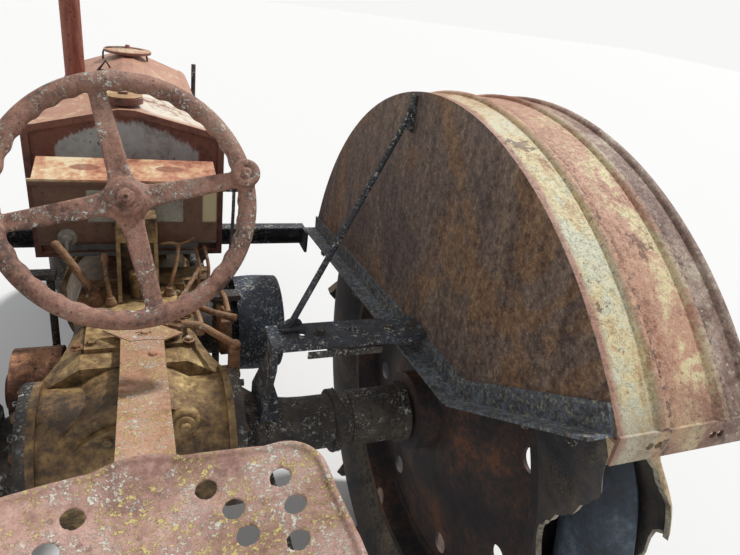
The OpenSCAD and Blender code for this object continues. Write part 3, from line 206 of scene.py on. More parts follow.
# %% A workshop for finishes
class Finish:
    """A procedural finish: one Principled shader and the patterns that feed it."""

    def __init__(self, name):
        self.material = bpy.data.materials.new(name)
        self.material.use_nodes = True
        self.tree = self.material.node_tree
        self.shader = self.tree.nodes["Principled BSDF"]
        self.shader.inputs["Metallic"].default_value = 0.0
        self.place = self.add("ShaderNodeTexCoord").outputs["Object"]

    def add(self, kind, **settings):
        made = self.tree.nodes.new(kind)
        for key, value in settings.items():
            setattr(made, key, value)
        return made

    def feed(self, socket, value):
        """Links an output to a socket, or writes a plain value on it."""
        if isinstance(value, bpy.types.NodeSocket):
            self.tree.links.new(value, socket)
        elif isinstance(value, (tuple, list)) and len(value) == 3 and len(socket.default_value) == 4:
            socket.default_value = (*linear(value), 1)
        else:
            socket.default_value = value

    def stretched(self, stretch, shift):
        mapping = self.add("ShaderNodeMapping")
        self.feed(mapping.inputs["Vector"], self.place)
        mapping.inputs["Scale"].default_value = stretch
        mapping.inputs["Location"].default_value = (shift, shift * 0.7, shift * 1.3)
        return mapping.outputs[0]

    def noise(self, size, detail=6, rough=0.6, warp=0.0, stretch=(1, 1, 1), shift=0.0):
        """Cloudy patches of about that size in metres, from 0 to 1."""
        made = self.add("ShaderNodeTexNoise")
        self.feed(made.inputs["Vector"], self.stretched(stretch, shift))
        made.inputs["Scale"].default_value = 1 / size
        made.inputs["Detail"].default_value = detail
        made.inputs["Roughness"].default_value = rough
        made.inputs["Distortion"].default_value = warp
        return made.outputs["Fac"]

    def cells(self, size, shift=0.0, ragged=0.0, feature="F1"):
        """Voronoi cells of about that size: the distance from each centre and a random value."""
        made = self.add("ShaderNodeTexVoronoi", feature=feature)
        vector = self.stretched((1, 1, 1), shift)
        if ragged:
            jitter = self.add("ShaderNodeTexNoise")
            self.feed(jitter.inputs["Vector"], self.place)
            jitter.inputs["Scale"].default_value = 4 / size
            jitter.inputs["Detail"].default_value = 3
            moved = self.add("ShaderNodeVectorMath", operation="MULTIPLY_ADD")
            self.feed(moved.inputs[0], jitter.outputs["Color"])
            moved.inputs[1].default_value = (ragged * size,) * 3
            self.feed(moved.inputs[2], vector)
            vector = moved.outputs[0]
        self.feed(made.inputs["Vector"], vector)
        made.inputs["Scale"].default_value = 1 / size
        if feature == "F1":
            split = self.add("ShaderNodeSeparateColor")
            self.feed(split.inputs[0], made.outputs["Color"])
            return made.outputs["Distance"], split.outputs[0]
        return made.outputs["Distance"], None

    def span(self, value, low, high, soft=True):
        """0 below low and 1 above high; with low above high it falls instead."""
        made = self.add("ShaderNodeMapRange", interpolation_type="SMOOTHSTEP" if soft else "LINEAR")
        self.feed(made.inputs["Value"], value)
        reverse = low > high
        made.inputs["From Min"].default_value = min(low, high)
        made.inputs["From Max"].default_value = max(low, high)
        made.inputs["To Min"].default_value = 1.0 if reverse else 0.0
        made.inputs["To Max"].default_value = 0.0 if reverse else 1.0
        return made.outputs["Result"]

    def wide(self, value, low, high):
        """Spreads a noise, which keeps near its middle, over the whole range from 0 to 1."""
        return self.span(value, low, high, soft=False)

    def sum(self, operation, first, second=0.0):
        made = self.add("ShaderNodeMath", operation=operation)
        self.feed(made.inputs[0], first)
        self.feed(made.inputs[1], second)
        return made.outputs[0]

    def times(self, first, second):
        return self.sum("MULTIPLY", first, second)

    def plus(self, first, second):
        return self.sum("ADD", first, second)

    def most(self, first, second):
        return self.sum("MAXIMUM", first, second)

    def blend(self, first, share, second, other):
        """The sum of two patterns, each with its own share."""
        return self.plus(self.times(first, share), self.times(second, other))

    def axis(self, letter):
        """The place along one axis of the frame."""
        split = self.add("ShaderNodeSeparateXYZ")
        self.feed(split.inputs[0], self.place)
        return split.outputs["XYZ".index(letter)]

    def facing(self, letter):
        """How far the surface faces along one axis, from -1 to 1."""
        split = self.add("ShaderNodeSeparateXYZ")
        self.feed(split.inputs[0], self.add("ShaderNodeNewGeometry").outputs["Normal"])
        return split.outputs["XYZ".index(letter)]

    def mix(self, share, first, second):
        made = self.add("ShaderNodeMix", data_type="RGBA")
        self.feed(made.inputs["Factor"], share)
        self.feed(made.inputs[6], first)
        self.feed(made.inputs[7], second)
        return made.outputs[2]

    def over(self, tint, tone, where, share):
        """Lays a share of a tone over a tint, where a pattern says so."""
        return self.mix(self.times(where, share), tint, tone)

    def ramp(self, value, *stops):
        """A colour ramp through (place, colour) stops."""
        made = self.add("ShaderNodeValToRGB")
        elements = made.color_ramp.elements
        while len(elements) < len(stops):
            elements.new(0.5)
        for element, (place, tone) in zip(elements, stops):
            element.position = place
            element.color = (*linear(tone), 1)
        self.feed(made.inputs[0], value)
        return made.outputs[0]

    def spots(self, size, share, shift=0.0, ragged=0.6):
        """Ragged round spots, of which share (0 to 1) of the cells have one."""
        near, chance = self.cells(size, shift, ragged)
        reach = self.span(chance, 1 - share, 1.0, soft=False)
        radius = self.times(reach, 0.42)
        gap = self.sum("SUBTRACT", radius, near)
        return self.span(gap, 0.0, 0.05)

    def bump(self, height, depth, strength=1.0):
        """Adds relief of that depth in metres over what is there already."""
        made = self.add("ShaderNodeBump")
        made.inputs["Strength"].default_value = strength
        made.inputs["Distance"].default_value = depth
        self.feed(made.inputs["Height"], height)
        normal = self.shader.inputs["Normal"]
        if normal.is_linked:
            self.feed(made.inputs["Normal"], normal.links[0].from_socket)
        self.feed(normal, made.outputs[0])

    def lay(self, tint, rough):
        """Sets the shader's colour and roughness."""
        self.feed(self.shader.inputs["Base Color"], tint)
        self.feed(self.shader.inputs["Roughness"], rough)
        return self.material


print("A finish can be built from patches, cells, spots and ramps")

# %% [markdown]
# Most of the machine is bare iron or sheet that lost its paint. One recipe serves them:
# broad patches of two or three rust tones, finer mottling, dark pits, and a crust of
# lichen where a share is asked for. Each piece then only names its tones.


# %% Rusty metal, with or without lichen
def rusty(name, tones, pits=0.35, crust=0.0, crust_tone=lichen_grey, yellow=0.0, patch=0.11,
          streak=(1, 1, 1), shift=0.0, depth=0.0012):
    """A rust finish through three or four tones from dark to light."""
    made = Finish(name)
    broad = made.noise(patch, 4, 0.62, warp=0.4, stretch=streak, shift=shift)
    fine = made.noise(patch / 9, 8, 0.72, stretch=streak, shift=shift + 3)
    grain = made.noise(0.0032, 3, 0.6)
    level = made.wide(made.blend(broad, 0.55, fine, 0.45), 0.36, 0.64)
    stops = [(0.12 + 0.76 * i / (len(tones) - 1), tone) for i, tone in enumerate(tones)]
    tint = made.ramp(level, *stops)
    tint = made.mix(made.span(grain, 0.36, 0.62), made.mix(0.35, tint, tones[0]), tint)
    pitted = made.times(made.spots(0.011, pits, shift=shift + 1.7), made.span(broad, 0.42, 0.55))
    tint = made.over(tint, tones[0], pitted, 0.75)
    height = made.blend(fine, 0.8, grain, 0.35)
    rough = made.span(fine, 0.2, 0.9)
    rough = made.plus(made.times(rough, 0.25), 0.62)
    if crust:
        field = made.span(made.noise(0.075, 4, 0.6, shift=shift + 9), 0.60 - 0.22 * crust, 0.68 - 0.16 * crust)
        crumbs = made.span(made.noise(0.0062, 5, 0.80, shift=shift + 5), 0.585 - 0.06 * crust, 0.605 - 0.05 * crust)
        blobs = made.spots(0.013, 0.45 * crust + 0.1, shift=shift + 6, ragged=1.3)
        crusted = made.most(made.times(field, made.most(crumbs, blobs)),
                            made.times(blobs, made.span(broad, 0.55, 0.62)))
        tone = made.mix(made.span(made.noise(0.02, 3), 0.42, 0.58), crust_tone, lichen_white)
        if yellow:
            tone = made.mix(made.span(made.noise(0.05, 4, shift=shift + 2), 0.58 - 0.14 * yellow,
                                      0.64 - 0.14 * yellow), tone, lichen_yellow)
        tint = made.over(tint, tone, crusted, 0.92)
        height = made.plus(height, made.times(crusted, 1.1))
    made.bump(height, depth, 0.9)
    return made.lay(tint, rough)


iron_dark = rusty("dark_iron", [(34, 31, 30), (60, 54, 50), (84, 76, 68), (112, 102, 90)],
                  crust=0.75, crust_tone=(122, 130, 140), shift=4)
stack_red = rusty("stack_rust", [(64, 34, 28), (112, 58, 44), (148, 84, 66), (168, 108, 88)],
                  streak=(1, 1, 0.18), shift=2)
# Painted shade: the wheels' dark slate-brown tones stand for the shade inside the wheels, with little orange rust.
rim_rust_in_shade = rusty("rim_rust_painted_shade", [(40, 37, 40), (60, 53, 54), (84, 67, 60), (128, 86, 62)],
                  shift=7, patch=0.16)
drum_brown = rusty("drum_rust", [(52, 36, 30), (98, 66, 52), (134, 90, 66), (196, 142, 104)],
                   shift=9)
engine_red = rusty("engine_paint", [(44, 32, 26), (92, 58, 44), (132, 78, 56), (150, 104, 74)],
                   pits=0.5, shift=8)
bar_black = rusty("black_bar", [(26, 26, 28), (42, 42, 45), (60, 61, 66), (84, 86, 92)],
                  crust=0.8, crust_tone=(116, 130, 150), shift=12)
print("Six plain rust finishes are ready")

# %% [markdown]
# The sheet-metal nose kept a red oxide, painted in two lit copies: a painted shaded copy,
# dark and brown, below and behind, and a painted sunlit copy, rose and cream, on top. How
# far the surface faces up tells the two apart.


# %% Burnt red sheet for the tank, hood and box, with painted sun and shade
def burnt_sheet(name, dark, red, rose, cream, sunlit_cream_share=0.5, shift=0.0, overlay=None):
    made = Finish(name)
    broad = made.noise(0.16, 5, 0.6, warp=0.5, stretch=(1, 0.6, 1), shift=shift)
    fine = made.noise(0.018, 8, 0.7, shift=shift + 2)
    grain = made.noise(0.0035, 3, 0.6)
    level = made.blend(broad, 0.6, fine, 0.4)
    # Painted light: a darker shaded copy and a lighter sunlit copy of one oxide, chosen by how far the surface faces
    # up.
    painted_shade_copy = made.ramp(level, (0.40, dark), (0.49, red), (0.60, lighter(red)))
    painted_sunlit_copy = made.ramp(level, (0.38, red), (0.47, rose), (0.58 - 0.08 * sunlit_cream_share, rose), (0.64 - 0.08 * sunlit_cream_share, cream))
    painted_sunlit_share = made.span(made.facing("Z"), 0.25, 0.8)
    tint = made.mix(painted_sunlit_share, painted_shade_copy, painted_sunlit_copy)
    scabs = made.times(made.spots(0.016, 0.4, shift=shift + 1), made.span(broad, 0.45, 0.62))
    tint = made.over(tint, dark, scabs, 0.8)
    tint = made.mix(made.span(grain, 0.36, 0.62), made.mix(0.25, tint, dark), tint)
    if overlay:
        tint = overlay(made, tint, level)
    made.bump(made.blend(fine, 0.7, grain, 0.3), 0.0008, 0.8)
    return made.lay(tint, made.plus(made.times(fine, 0.3), 0.45))


def window(made, letter, low, high, soft=0.006):
    """1 where the place along an axis lies between low and high."""
    where = made.axis(letter)
    return made.times(made.span(where, low - soft, low + soft), made.span(where, high + soft, high - soft))


def tank_panel(made, tint, level):
    """The pale blue-grey field on the tank's rear face, with rust running into it from its upper edge."""
    ragged = made.times(made.noise(0.018, 5, 0.7, stretch=(1, 1, 0.25), shift=3), 0.05)
    high = made.plus(made.axis("Z"), ragged)
    arch = made.plus(high, made.times(made.sum("POWER", made.sum("ABSOLUTE", made.axis("X")), 2.0), 2.4))
    field = made.times(made.times(window(made, "X", -0.168, 0.172, 0.004), made.span(arch, 1.262, 1.250)),
                       made.span(made.facing("Y"), -0.6, -0.9))
    blue = made.ramp(level, (0.36, (122, 118, 112)), (0.48, (164, 170, 172)), (0.64, (188, 196, 196)))
    tint = made.mix(field, tint, blue)
    stains = made.times(field, made.span(made.noise(0.030, 6, 0.72, shift=21), 0.60, 0.68))
    tint = made.mix(stains, tint, (74, 66, 66))
    bleached = made.times(made.times(window(made, "X", 0.02, 0.19, 0.02),
                                     window(made, "Y", at(0, 0.63, 0).y, at(0, 0.86, 0).y, 0.03)),
                          made.times(made.span(made.facing("Z"), 0.6, 0.9), made.span(level, 0.40, 0.50)))
    return made.mix(made.times(bleached, 0.9), tint, (226, 220, 200))


def lid_stains(made, tint, level):
    """Orange and cream on the box's lid, two oval stains on it, and a pale right end on its back."""
    lid = made.span(made.axis("Z"), 1.128, 1.134)
    warm = made.ramp(made.plus(level, made.times(made.span(made.axis("X"), 0.02, -0.12), 0.04)),
                     (0.42, (150, 92, 68)), (0.48, (192, 132, 104)), (0.54, (214, 170, 130)),
                     (0.60, (234, 214, 176)))
    tint = made.mix(lid, tint, warm)
    ragged = made.times(made.plus(made.noise(0.02, 4, 0.7), -0.5), 0.04)
    for middle in (-0.096, 0.094):
        far_x = made.times(made.plus(made.axis("X"), -middle), 1 / 0.034)
        far_y = made.times(made.plus(made.axis("Y"), -at(0, 0.510, 0).y), 1 / 0.016)
        far = made.plus(made.plus(made.times(far_x, far_x), made.times(far_y, far_y)), made.times(ragged, 12))
        stain = made.times(made.span(far, 1.15, 0.75), lid)
        tint = made.over(tint, (128, 66, 54), stain, 0.7)
    back = made.times(window(made, "X", 0.168, 0.201, 0.003), window(made, "Z", 1.030, 1.118, 0.004))
    return made.mix(made.times(back, made.span(level, 0.34, 0.42)), tint, (206, 192, 152))


nose_tones = ((66, 42, 36), (124, 80, 66), (190, 140, 114), (226, 200, 164))
nose_red = burnt_sheet("nose_sheet", *nose_tones, shift=1)
tank_red = burnt_sheet("tank_sheet", *nose_tones, sunlit_cream_share=0.7, shift=5, overlay=tank_panel)
box_red = burnt_sheet("box_sheet", (62, 46, 38), (112, 82, 64), (196, 138, 106), (226, 196, 150),
                      shift=9, overlay=lid_stains)
cap_cream = burnt_sheet("cap_sheet", (70, 46, 38), (132, 90, 66), (190, 150, 104), (232, 212, 158),
                        sunlit_cream_share=1.0, shift=11)
print("The nose is burnt to rose where it faces the sky")

# %% [markdown]
# The big castings were painted once, then soaked in gear oil that dust has turned to a
# tan cake. Grime lies in patches, and painted shade darkens the faces that look down, so the
# cake is lighter on top.


# %% Oily tan castings
def oily_casting(name, tones, grime_and_shade_tone=soot_and_shade, shift=0.0):
    made = Finish(name)
    broad = made.noise(0.2, 5, 0.6, warp=0.8, shift=shift)
    fine = made.noise(0.02, 8, 0.7, shift=shift + 2)
    grain = made.noise(0.003, 3, 0.65)
    level = made.blend(broad, 0.55, fine, 0.45)
    tint = made.ramp(level, (0.40, tones[0]), (0.47, tones[1]), (0.54, tones[2]), (0.62, tones[3]))
    # Painted shade: faces that look down get more of the soot-dark tone; the noise patches are grime.
    low = made.span(made.facing("Z"), 0.75, -0.1)
    grime_and_painted_shade = made.times(made.span(made.noise(0.07, 7, 0.7, shift=shift + 5), 0.38, 0.66),
                       made.plus(made.times(low, 0.65), 0.3))
    tint = made.mix(grime_and_painted_shade, tint, grime_and_shade_tone)
    tint = made.mix(made.times(made.spots(0.009, 0.4, shift=shift + 7), 0.6), tint, tones[0])
    made.bump(made.blend(fine, 0.7, grain, 0.5), 0.0016, 0.9)
    return made.lay(tint, made.plus(made.times(fine, 0.35), 0.45))


casting_tan = oily_casting("tan_casting", [(66, 50, 34), (124, 96, 62), (166, 136, 90),
                                           (214, 186, 128)], shift=3)
print("The castings are caked in tan grime")

# %% [markdown]
# A fender's crown still carries cream paint in long streaks, rose rust between them,
# brown scabs, and dark lichen along its beads. Its inner sheet is brown and purple with
# mustard runs, and the angle iron under it is blue-grey. All of them belong to one piece,
# so the distance from the tractor's middle picks the look.

# %% The fender's two faces
fender_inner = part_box("fender_right")[0].x + 0.042
fender_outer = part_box("fender_right")[1].x
bead_places, bead_near, bead_far = (0.3, 0.72, 0.95), 0.003, 0.016
iron_end_y = at(0, -0.5830, 0).y


def fender_finish():
    made = Finish("fender_sheet")
    mix, times, plus, most, blend, over = made.mix, made.times, made.plus, made.most, made.blend, made.over
    span, ramp, noise, spots = made.span, made.ramp, made.noise, made.spots
    across = made.sum("ABSOLUTE", made.axis("X"))
    width = fender_outer - fender_inner
    rearward = made.axis("Y")
    broad = noise(0.12, 5, 0.62, warp=0.8, stretch=(1.5, 0.8, 0.8))
    wide = noise(0.3, 3, 0.5, shift=13)
    fine = noise(0.013, 8, 0.74, shift=2)
    grain = noise(0.0028, 3, 0.65)
    level = blend(broad, 0.62, fine, 0.38)
    # Crown: worn paint between the beads, most of it left low at the back
    cream, pale_green, rose, rust = (230, 214, 166), (220, 218, 190), (200, 152, 126), (158, 104, 76)
    ragged = plus(across, times(plus(broad, -0.5), 0.030))
    inner_band = span(ragged, fender_inner + 0.30 * width, fender_inner + 0.25 * width)
    first_edge = span(ragged, fender_inner + 0.004, fender_inner + 0.020)
    outer_band = span(ragged, fender_inner + 0.66 * width, fender_inner + 0.78 * width)
    low_back = span(rearward, at(0, 0.05, 0).y, at(0, -0.42, 0).y)
    middle_tone = ramp(level, (0.40, rust), (0.46, rose), (0.53, (208, 164, 134)), (0.61, (222, 190, 142)))
    creamy = times(span(plus(level, times(low_back, 0.05)), 0.53, 0.60),
                   span(ragged, fender_inner + 0.42 * width, fender_inner + 0.56 * width))
    middle_tone = mix(creamy, middle_tone, cream)
    inner_tone = ramp(plus(level, times(low_back, 0.05)), (0.42, (168, 120, 94)), (0.47, (214, 186, 140)),
                      (0.52, cream), (0.58, pale_green))
    inner_tone = mix(first_edge, (176, 132, 112), inner_tone)
    outer_tone = ramp(level, (0.40, (104, 80, 70)), (0.47, (146, 116, 102)), (0.54, (178, 154, 138)),
                      (0.62, (206, 190, 168)))
    crown = mix(inner_band, mix(outer_band, middle_tone, outer_tone), inner_tone)
    forward_rust = times(span(rearward, at(0, -0.25, 0).y, at(0, 0.25, 0).y), 0.8)
    crown = mix(forward_rust, crown, mix(span(level, 0.43, 0.56), rust, (214, 164, 134)))
    end_rust = times(span(plus(rearward, times(broad, 0.08)), at(0, -0.49, 0).y, at(0, -0.57, 0).y), 0.8)
    crown = mix(end_rust, crown, mix(span(level, 0.4, 0.6), (98, 72, 60), (156, 122, 102)))
    scabs = most(times(spots(0.052, 0.16, ragged=1.6), span(fine, 0.32, 0.5)),
                 times(spots(0.016, 0.30, shift=3, ragged=1.4), span(wide, 0.44, 0.60)))
    crown = over(crown, (112, 82, 66), scabs, 0.8)
    specks = spots(0.006, 0.30, shift=4, ragged=0.9)
    crown = over(crown, (120, 84, 62), specks, 0.55)
    # Dark lichen along the beads
    beads = None
    for share in bead_places:
        near = made.sum("ABSOLUTE", made.sum("SUBTRACT", across, fender_inner + share * width + 0.010))
        line = span(near, bead_far, bead_near)
        beads = line if beads is None else most(beads, line)
    crusty = span(noise(0.010, 5, 0.75, shift=8), 0.50, 0.60)
    lichened = times(times(most(beads, times(outer_band, 0.35)), crusty), plus(times(low_back, 0.75), 0.25))
    crown = over(crown, (84, 76, 66), lichened, 0.85)
    pale_bits = times(spots(0.007, 0.5, shift=31, ragged=1.0), plus(times(outer_band, 0.6), 0.10))
    crown = mix(pale_bits, crown, (206, 198, 178))
    # Inner sheet: brown and purple rust, mustard where it ran, pale specks low down
    run = noise(0.05, 7, 0.75, stretch=(1, 1, 0.22), shift=6)
    field = noise(0.22, 4, 0.6, warp=0.8, shift=17)
    mottle = blend(run, 0.40, fine, 0.60)
    mottle = plus(times(mottle, 0.75), times(noise(0.0055, 4, 0.7, shift=19), 0.25))
    sheet = ramp(mottle, (0.42, (68, 56, 51)), (0.47, (104, 87, 77)), (0.52, (130, 110, 96)),
                 (0.59, (170, 148, 128)))
    ochre = ramp(mottle, (0.42, (92, 64, 42)), (0.49, (146, 106, 68)), (0.57, (184, 144, 98)))
    sheet = mix(times(span(field, 0.52, 0.60), 0.6), sheet, ochre)
    sheet = mix(times(span(field, 0.45, 0.38), 0.6), sheet,
                ramp(mottle, (0.42, (52, 44, 46)), (0.50, (88, 74, 72)), (0.58, (120, 106, 104))))
    low_down = span(made.axis("Z"), 1.22, 0.98)
    flecks = times(spots(0.0075, 0.45, shift=11, ragged=0.7), plus(times(low_down, 0.7), 0.18))
    sheet = over(sheet, (176, 172, 162), flecks, 0.8)
    # Angle iron: blue-grey paint under a pale crust
    iron = ramp(mottle, (0.42, (50, 50, 52)), (0.49, (88, 92, 98)), (0.57, (132, 142, 152)))
    crumbs = times(span(noise(0.009, 5, 0.75, shift=41), 0.52, 0.58), span(field, 0.34, 0.56))
    iron = mix(times(crumbs, 0.75), iron, mix(span(fine, 0.45, 0.6), (170, 168, 152), (196, 188, 150)))
    end_iron = ramp(mottle, (0.42, (104, 72, 62)), (0.49, (150, 112, 96)), (0.57, (186, 152, 132)))
    tint = mix(span(across, fender_inner - 0.0010, fender_inner - 0.0004), iron, sheet)
    tint = mix(span(across, fender_inner + 0.0002, fender_inner + 0.0012), tint, crown)
    at_end = times(span(rearward, iron_end_y, iron_end_y - 0.0008),
                   span(across, fender_inner - 0.004, fender_inner))
    tint = mix(at_end, tint, end_iron)
    tint = mix(times(span(grain, 0.62, 0.36), 0.25), tint, (52, 40, 34))
    height = plus(blend(fine, 0.7, grain, 0.35), blend(lichened, 0.8, crumbs, 0.6))
    made.bump(height, 0.0013, 0.9)
    return made.lay(tint, plus(times(fine, 0.3), 0.5))


fender_skin = fender_finish()
print("The crown runs from", round(fender_inner, 3), "to", round(fender_outer, 3), "m")

# %% [markdown]
# Rubber that has stood in the sun goes grey-brown and crazes into fine cracks. A cell
# pattern gives the cracks, and mud dust lightens the faces that look up.


# %% Crazed rubber
def crazed_rubber(name):
    made = Finish(name)
    broad = made.noise(0.16, 5, 0.6, warp=0.5)
    fine = made.noise(0.012, 8, 0.7, shift=2)
    near, _ = made.cells(0.007, ragged=1.2, feature="DISTANCE_TO_EDGE")
    cracks = made.times(made.span(near, 0.10, 0.0), made.span(made.noise(0.06, 4, 0.6, shift=5), 0.46, 0.62))
    level = made.blend(broad, 0.65, fine, 0.35)
    tint = made.ramp(level, (0.34, (42, 42, 46)), (0.46, (62, 61, 64)), (0.56, (86, 78, 70)),
                     (0.70, (128, 112, 92)))
    dust = made.times(made.span(made.facing("Z"), 0.1, 0.9), made.span(fine, 0.35, 0.6))
    tint = made.over(tint, (166, 152, 124), dust, 0.6)
    tint = made.over(tint, (28, 26, 25), cracks, 0.5)
    made.bump(made.blend(fine, 0.6, cracks, -0.8), 0.0010, 0.8)
    return made.lay(tint, made.plus(made.times(fine, 0.25), 0.62))


rubber = crazed_rubber("weathered_rubber")
torn_rubber = rusty("torn_rubber", [(96, 88, 78), (150, 142, 124), (190, 182, 160), (206, 200, 180)],
                    pits=0.2, shift=27)
# Painted shade: the tube's slate-blue tones are the colour of sky-lit shade inside the burst tyre.
tube_rubber_painted_shade = rusty("tube_rubber_painted_shade", [(34, 38, 44), (50, 58, 68), (66, 76, 88), (92, 104, 116)],
                    pits=0.1, shift=29, depth=0.0004)
dusty_tread = rusty("dusty_tread", [(140, 120, 92), (186, 164, 128), (208, 188, 150), (220, 202, 168)],
                    pits=0.2, shift=33)
print("The rubber is crazed")

# %% [markdown]
# The seat and its flat bar were bare steel: a rosy brown rust under heavy grey and yellow
# lichen. The steering wheel is of the same family, greyer along its rim. The belt pulley
# is black with pale blue patches.

# %% Lichened steel for what the driver touches
seat_rust = rusty("seat_rust", [(132, 98, 86), (170, 132, 118), (190, 152, 138), (204, 170, 154)],
                  pits=0.2, crust=1.0, crust_tone=(204, 196, 176), yellow=0.9, shift=15)
bar_ochre = rusty("bar_rust", [(150, 104, 78), (186, 142, 112), (200, 158, 130), (208, 172, 150)],
                  crust=1.0, crust_tone=(214, 206, 176), yellow=1.0, shift=17)
grip_rust = rusty("grip_rust", [(84, 62, 52), (150, 110, 94), (176, 132, 112), (190, 152, 134)],
                  pits=0.5, crust=0.7, shift=19, depth=0.0016)
lever_rust = rusty("lever_rust", [(70, 48, 34), (132, 92, 62), (160, 122, 88), (176, 140, 108)],
                   crust=0.3, shift=21)
pulley_black = rusty("pulley_black", [(26, 27, 32), (44, 47, 54), (68, 74, 84), (100, 108, 120)],
                     crust=0.9, crust_tone=(120, 134, 152), shift=23)
dull_zinc = rusty("dull_zinc", [(116, 110, 98), (150, 146, 134), (172, 168, 154), (184, 178, 160)],
                  pits=0.2, shift=25, depth=0.0004)
print("Lichen covers the seat, the bar and the wheel")

# %% [markdown]
# Every piece that came with the frame gets its finish here. A table says which piece wears
# which, so a change of mind is one line.

# %% Paint the frame's pieces
worn_by = {
    casting_tan: ["transmission_case", "clutch_housing", "column_pedestal"],
    iron_dark: ["axle_housings", "pulley_case", "front_frame", "front_upright", "column_tube", "steering_shaft",
                "drawbar", "pedals", "air_cleaner", "carburettor", "magneto", "fan"],
    bar_black: ["fender_struts", "rear_crossmember", "front_crossmember"],
    engine_red: ["engine_block", "oil_pan", "manifold"],
    nose_red: ["hood", "radiator", "grille", "radiator_cap"],
    tank_red: ["fuel_tank"],
    box_red: ["dash_box"],
    stack_red: ["exhaust_stack"],
    rim_rust_in_shade: ["rear_wheel_left", "rear_wheel_right", "front_wheel_left", "front_wheel_right"],
    drum_brown: ["brake_drum"],
    fender_skin: ["fender_left", "fender_right"],
    rubber: ["rear_tyre_left", "rear_tyre_right", "front_tyre_left", "front_tyre_right"],
    seat_rust: ["seat_pan"],
    bar_ochre: ["seat_bar"],
    grip_rust: ["steering_wheel"],
    lever_rust: ["gear_lever", "hand_levers"],
    pulley_black: ["belt_pulley"],
}


def paint(piece, material):
    """Gives all of a piece one finish."""
    slots = piece.data.materials
    if not slots:
        slots.append(material)
    for index in range(len(slots)):
        slots[index] = material


for material, names in worn_by.items():
    for name in names:
        paint(nodes[name], material)
print(sum(len(names) for names in worn_by.values()), "pieces of the frame are painted")

# %% [markdown]
# The rest is modelled by hand. A few helpers stand for a modeller's hands: put everything
# down, take one piece up, open it for shaping, pick the faces or corners that the
# next operation works on by where they are, and finish a piece with a modifier.


# %% Hands for modelling
def put_down():
    if bpy.context.mode != "OBJECT":
        bpy.ops.object.mode_set(mode="OBJECT")
    bpy.ops.object.select_all(action="DESELECT")


def take(*taken):
    """Selects only these pieces, the first one active."""
    put_down()
    for piece in taken:
        piece.select_set(True)
    bpy.context.view_layer.objects.active = taken[0]
    return taken[0]


def open_up(piece):
    take(piece)
    bpy.ops.object.mode_set(mode="EDIT")
    bpy.ops.mesh.select_mode(type="VERT")
    bpy.ops.mesh.select_all(action="SELECT")


def pick(kind, test):
    """In edit mode, selects only what passes the test by its middle and its direction."""
    bpy.ops.mesh.select_mode(type=kind)
    bpy.ops.mesh.select_all(action="DESELECT")
    mesh = bmesh.from_edit_mesh(bpy.context.object.data)
    mesh.normal_update()
    if kind == "VERT":
        chosen = [v for v in mesh.verts if test(v.co, v.normal)]
    else:
        chosen = [f for f in mesh.faces if test(f.calc_center_median(), f.normal)]
    for one in chosen:
        one.select_set(True)
    bmesh.update_edit_mesh(bpy.context.object.data)


def settle(piece):
    """Writes the piece's place, turn and size into its mesh."""
    take(piece)
    bpy.ops.object.transform_apply(location=True, rotation=True, scale=True)
    return piece


def stand(piece, place, axis=(0, 0, 1), twist=0.0):
    """Turns a piece modelled round the Z axis so that it stands at place along axis."""
    turn = Vector(axis).to_track_quat("Z", "Y").to_matrix().to_4x4()
    piece.matrix_world = Matrix.Translation(place) @ turn @ Matrix.Rotation(twist, 4, "Z")
    return settle(piece)


def modify(piece, kind, **settings):
    take(piece)
    modifier = piece.modifiers.new(kind.lower(), kind)
    for key, value in settings.items():
        setattr(modifier, key, value)
    bpy.ops.object.modifier_apply(modifier=modifier.name)
    return piece


def join(*joined):
    take(*joined)
    if len(joined) > 1:
        bpy.ops.object.join()
    return joined[0]


def carve(piece, cutter):
    """Cuts one piece out of another, and throws the cutter away."""
    modify(piece, "BOOLEAN", object=cutter, operation="DIFFERENCE", solver="EXACT")
    bpy.data.objects.remove(cutter)
    return piece


def round_bar(radius, depth, place, sides):
    """A straight round bar along the Z axis, mostly used to cut with."""
    put_down()
    bpy.ops.mesh.primitive_cylinder_add(vertices=sides, radius=radius, depth=depth, location=place)
    return bpy.context.object


def close(piece):
    """Leaves edit mode."""
    bpy.ops.object.mode_set(mode="OBJECT")
    return piece


def twin(piece):
    """A copy with its own mesh."""
    take(piece)
    bpy.ops.object.duplicate()
    return bpy.context.object


def outwards(piece):
    """Merges doubles and points every face outwards."""
    open_up(piece)
    bpy.ops.mesh.remove_doubles(threshold=0.00002)
    bpy.ops.mesh.normals_make_consistent(inside=False)
    return close(piece)


def block(low, high, round_off=0.0, segments=2):
    """A block between two corners, with its edges rounded."""
    low, high = Vector(low), Vector(high)
    put_down()
    bpy.ops.mesh.primitive_cube_add(size=1, location=(low + high) / 2, scale=high - low)
    piece = settle(bpy.context.object)
    if round_off:
        open_up(piece)
        bpy.ops.mesh.bevel(offset=round_off, segments=segments, affect="EDGES")
        close(piece)
    return piece


def turned(profile, sides=40):
    """A turned shape round the Z axis: a disc drawn out through (radius, height) steps."""
    (radius, height), *steps = profile
    put_down()
    bpy.ops.mesh.primitive_circle_add(vertices=sides, radius=radius, fill_type="NGON", location=(0, 0, height))
    piece = settle(bpy.context.object)
    open_up(piece)
    for next_radius, next_height in steps:
        bpy.ops.mesh.extrude_region_move(TRANSFORM_OT_translate={"value": (0, 0, next_height - height)})
        share = next_radius / radius
        bpy.ops.transform.resize(value=(share, share, 1), center_override=(0, 0, next_height))
        radius, height = next_radius, next_height
    bpy.ops.object.mode_set(mode="OBJECT")
    return outwards(piece)


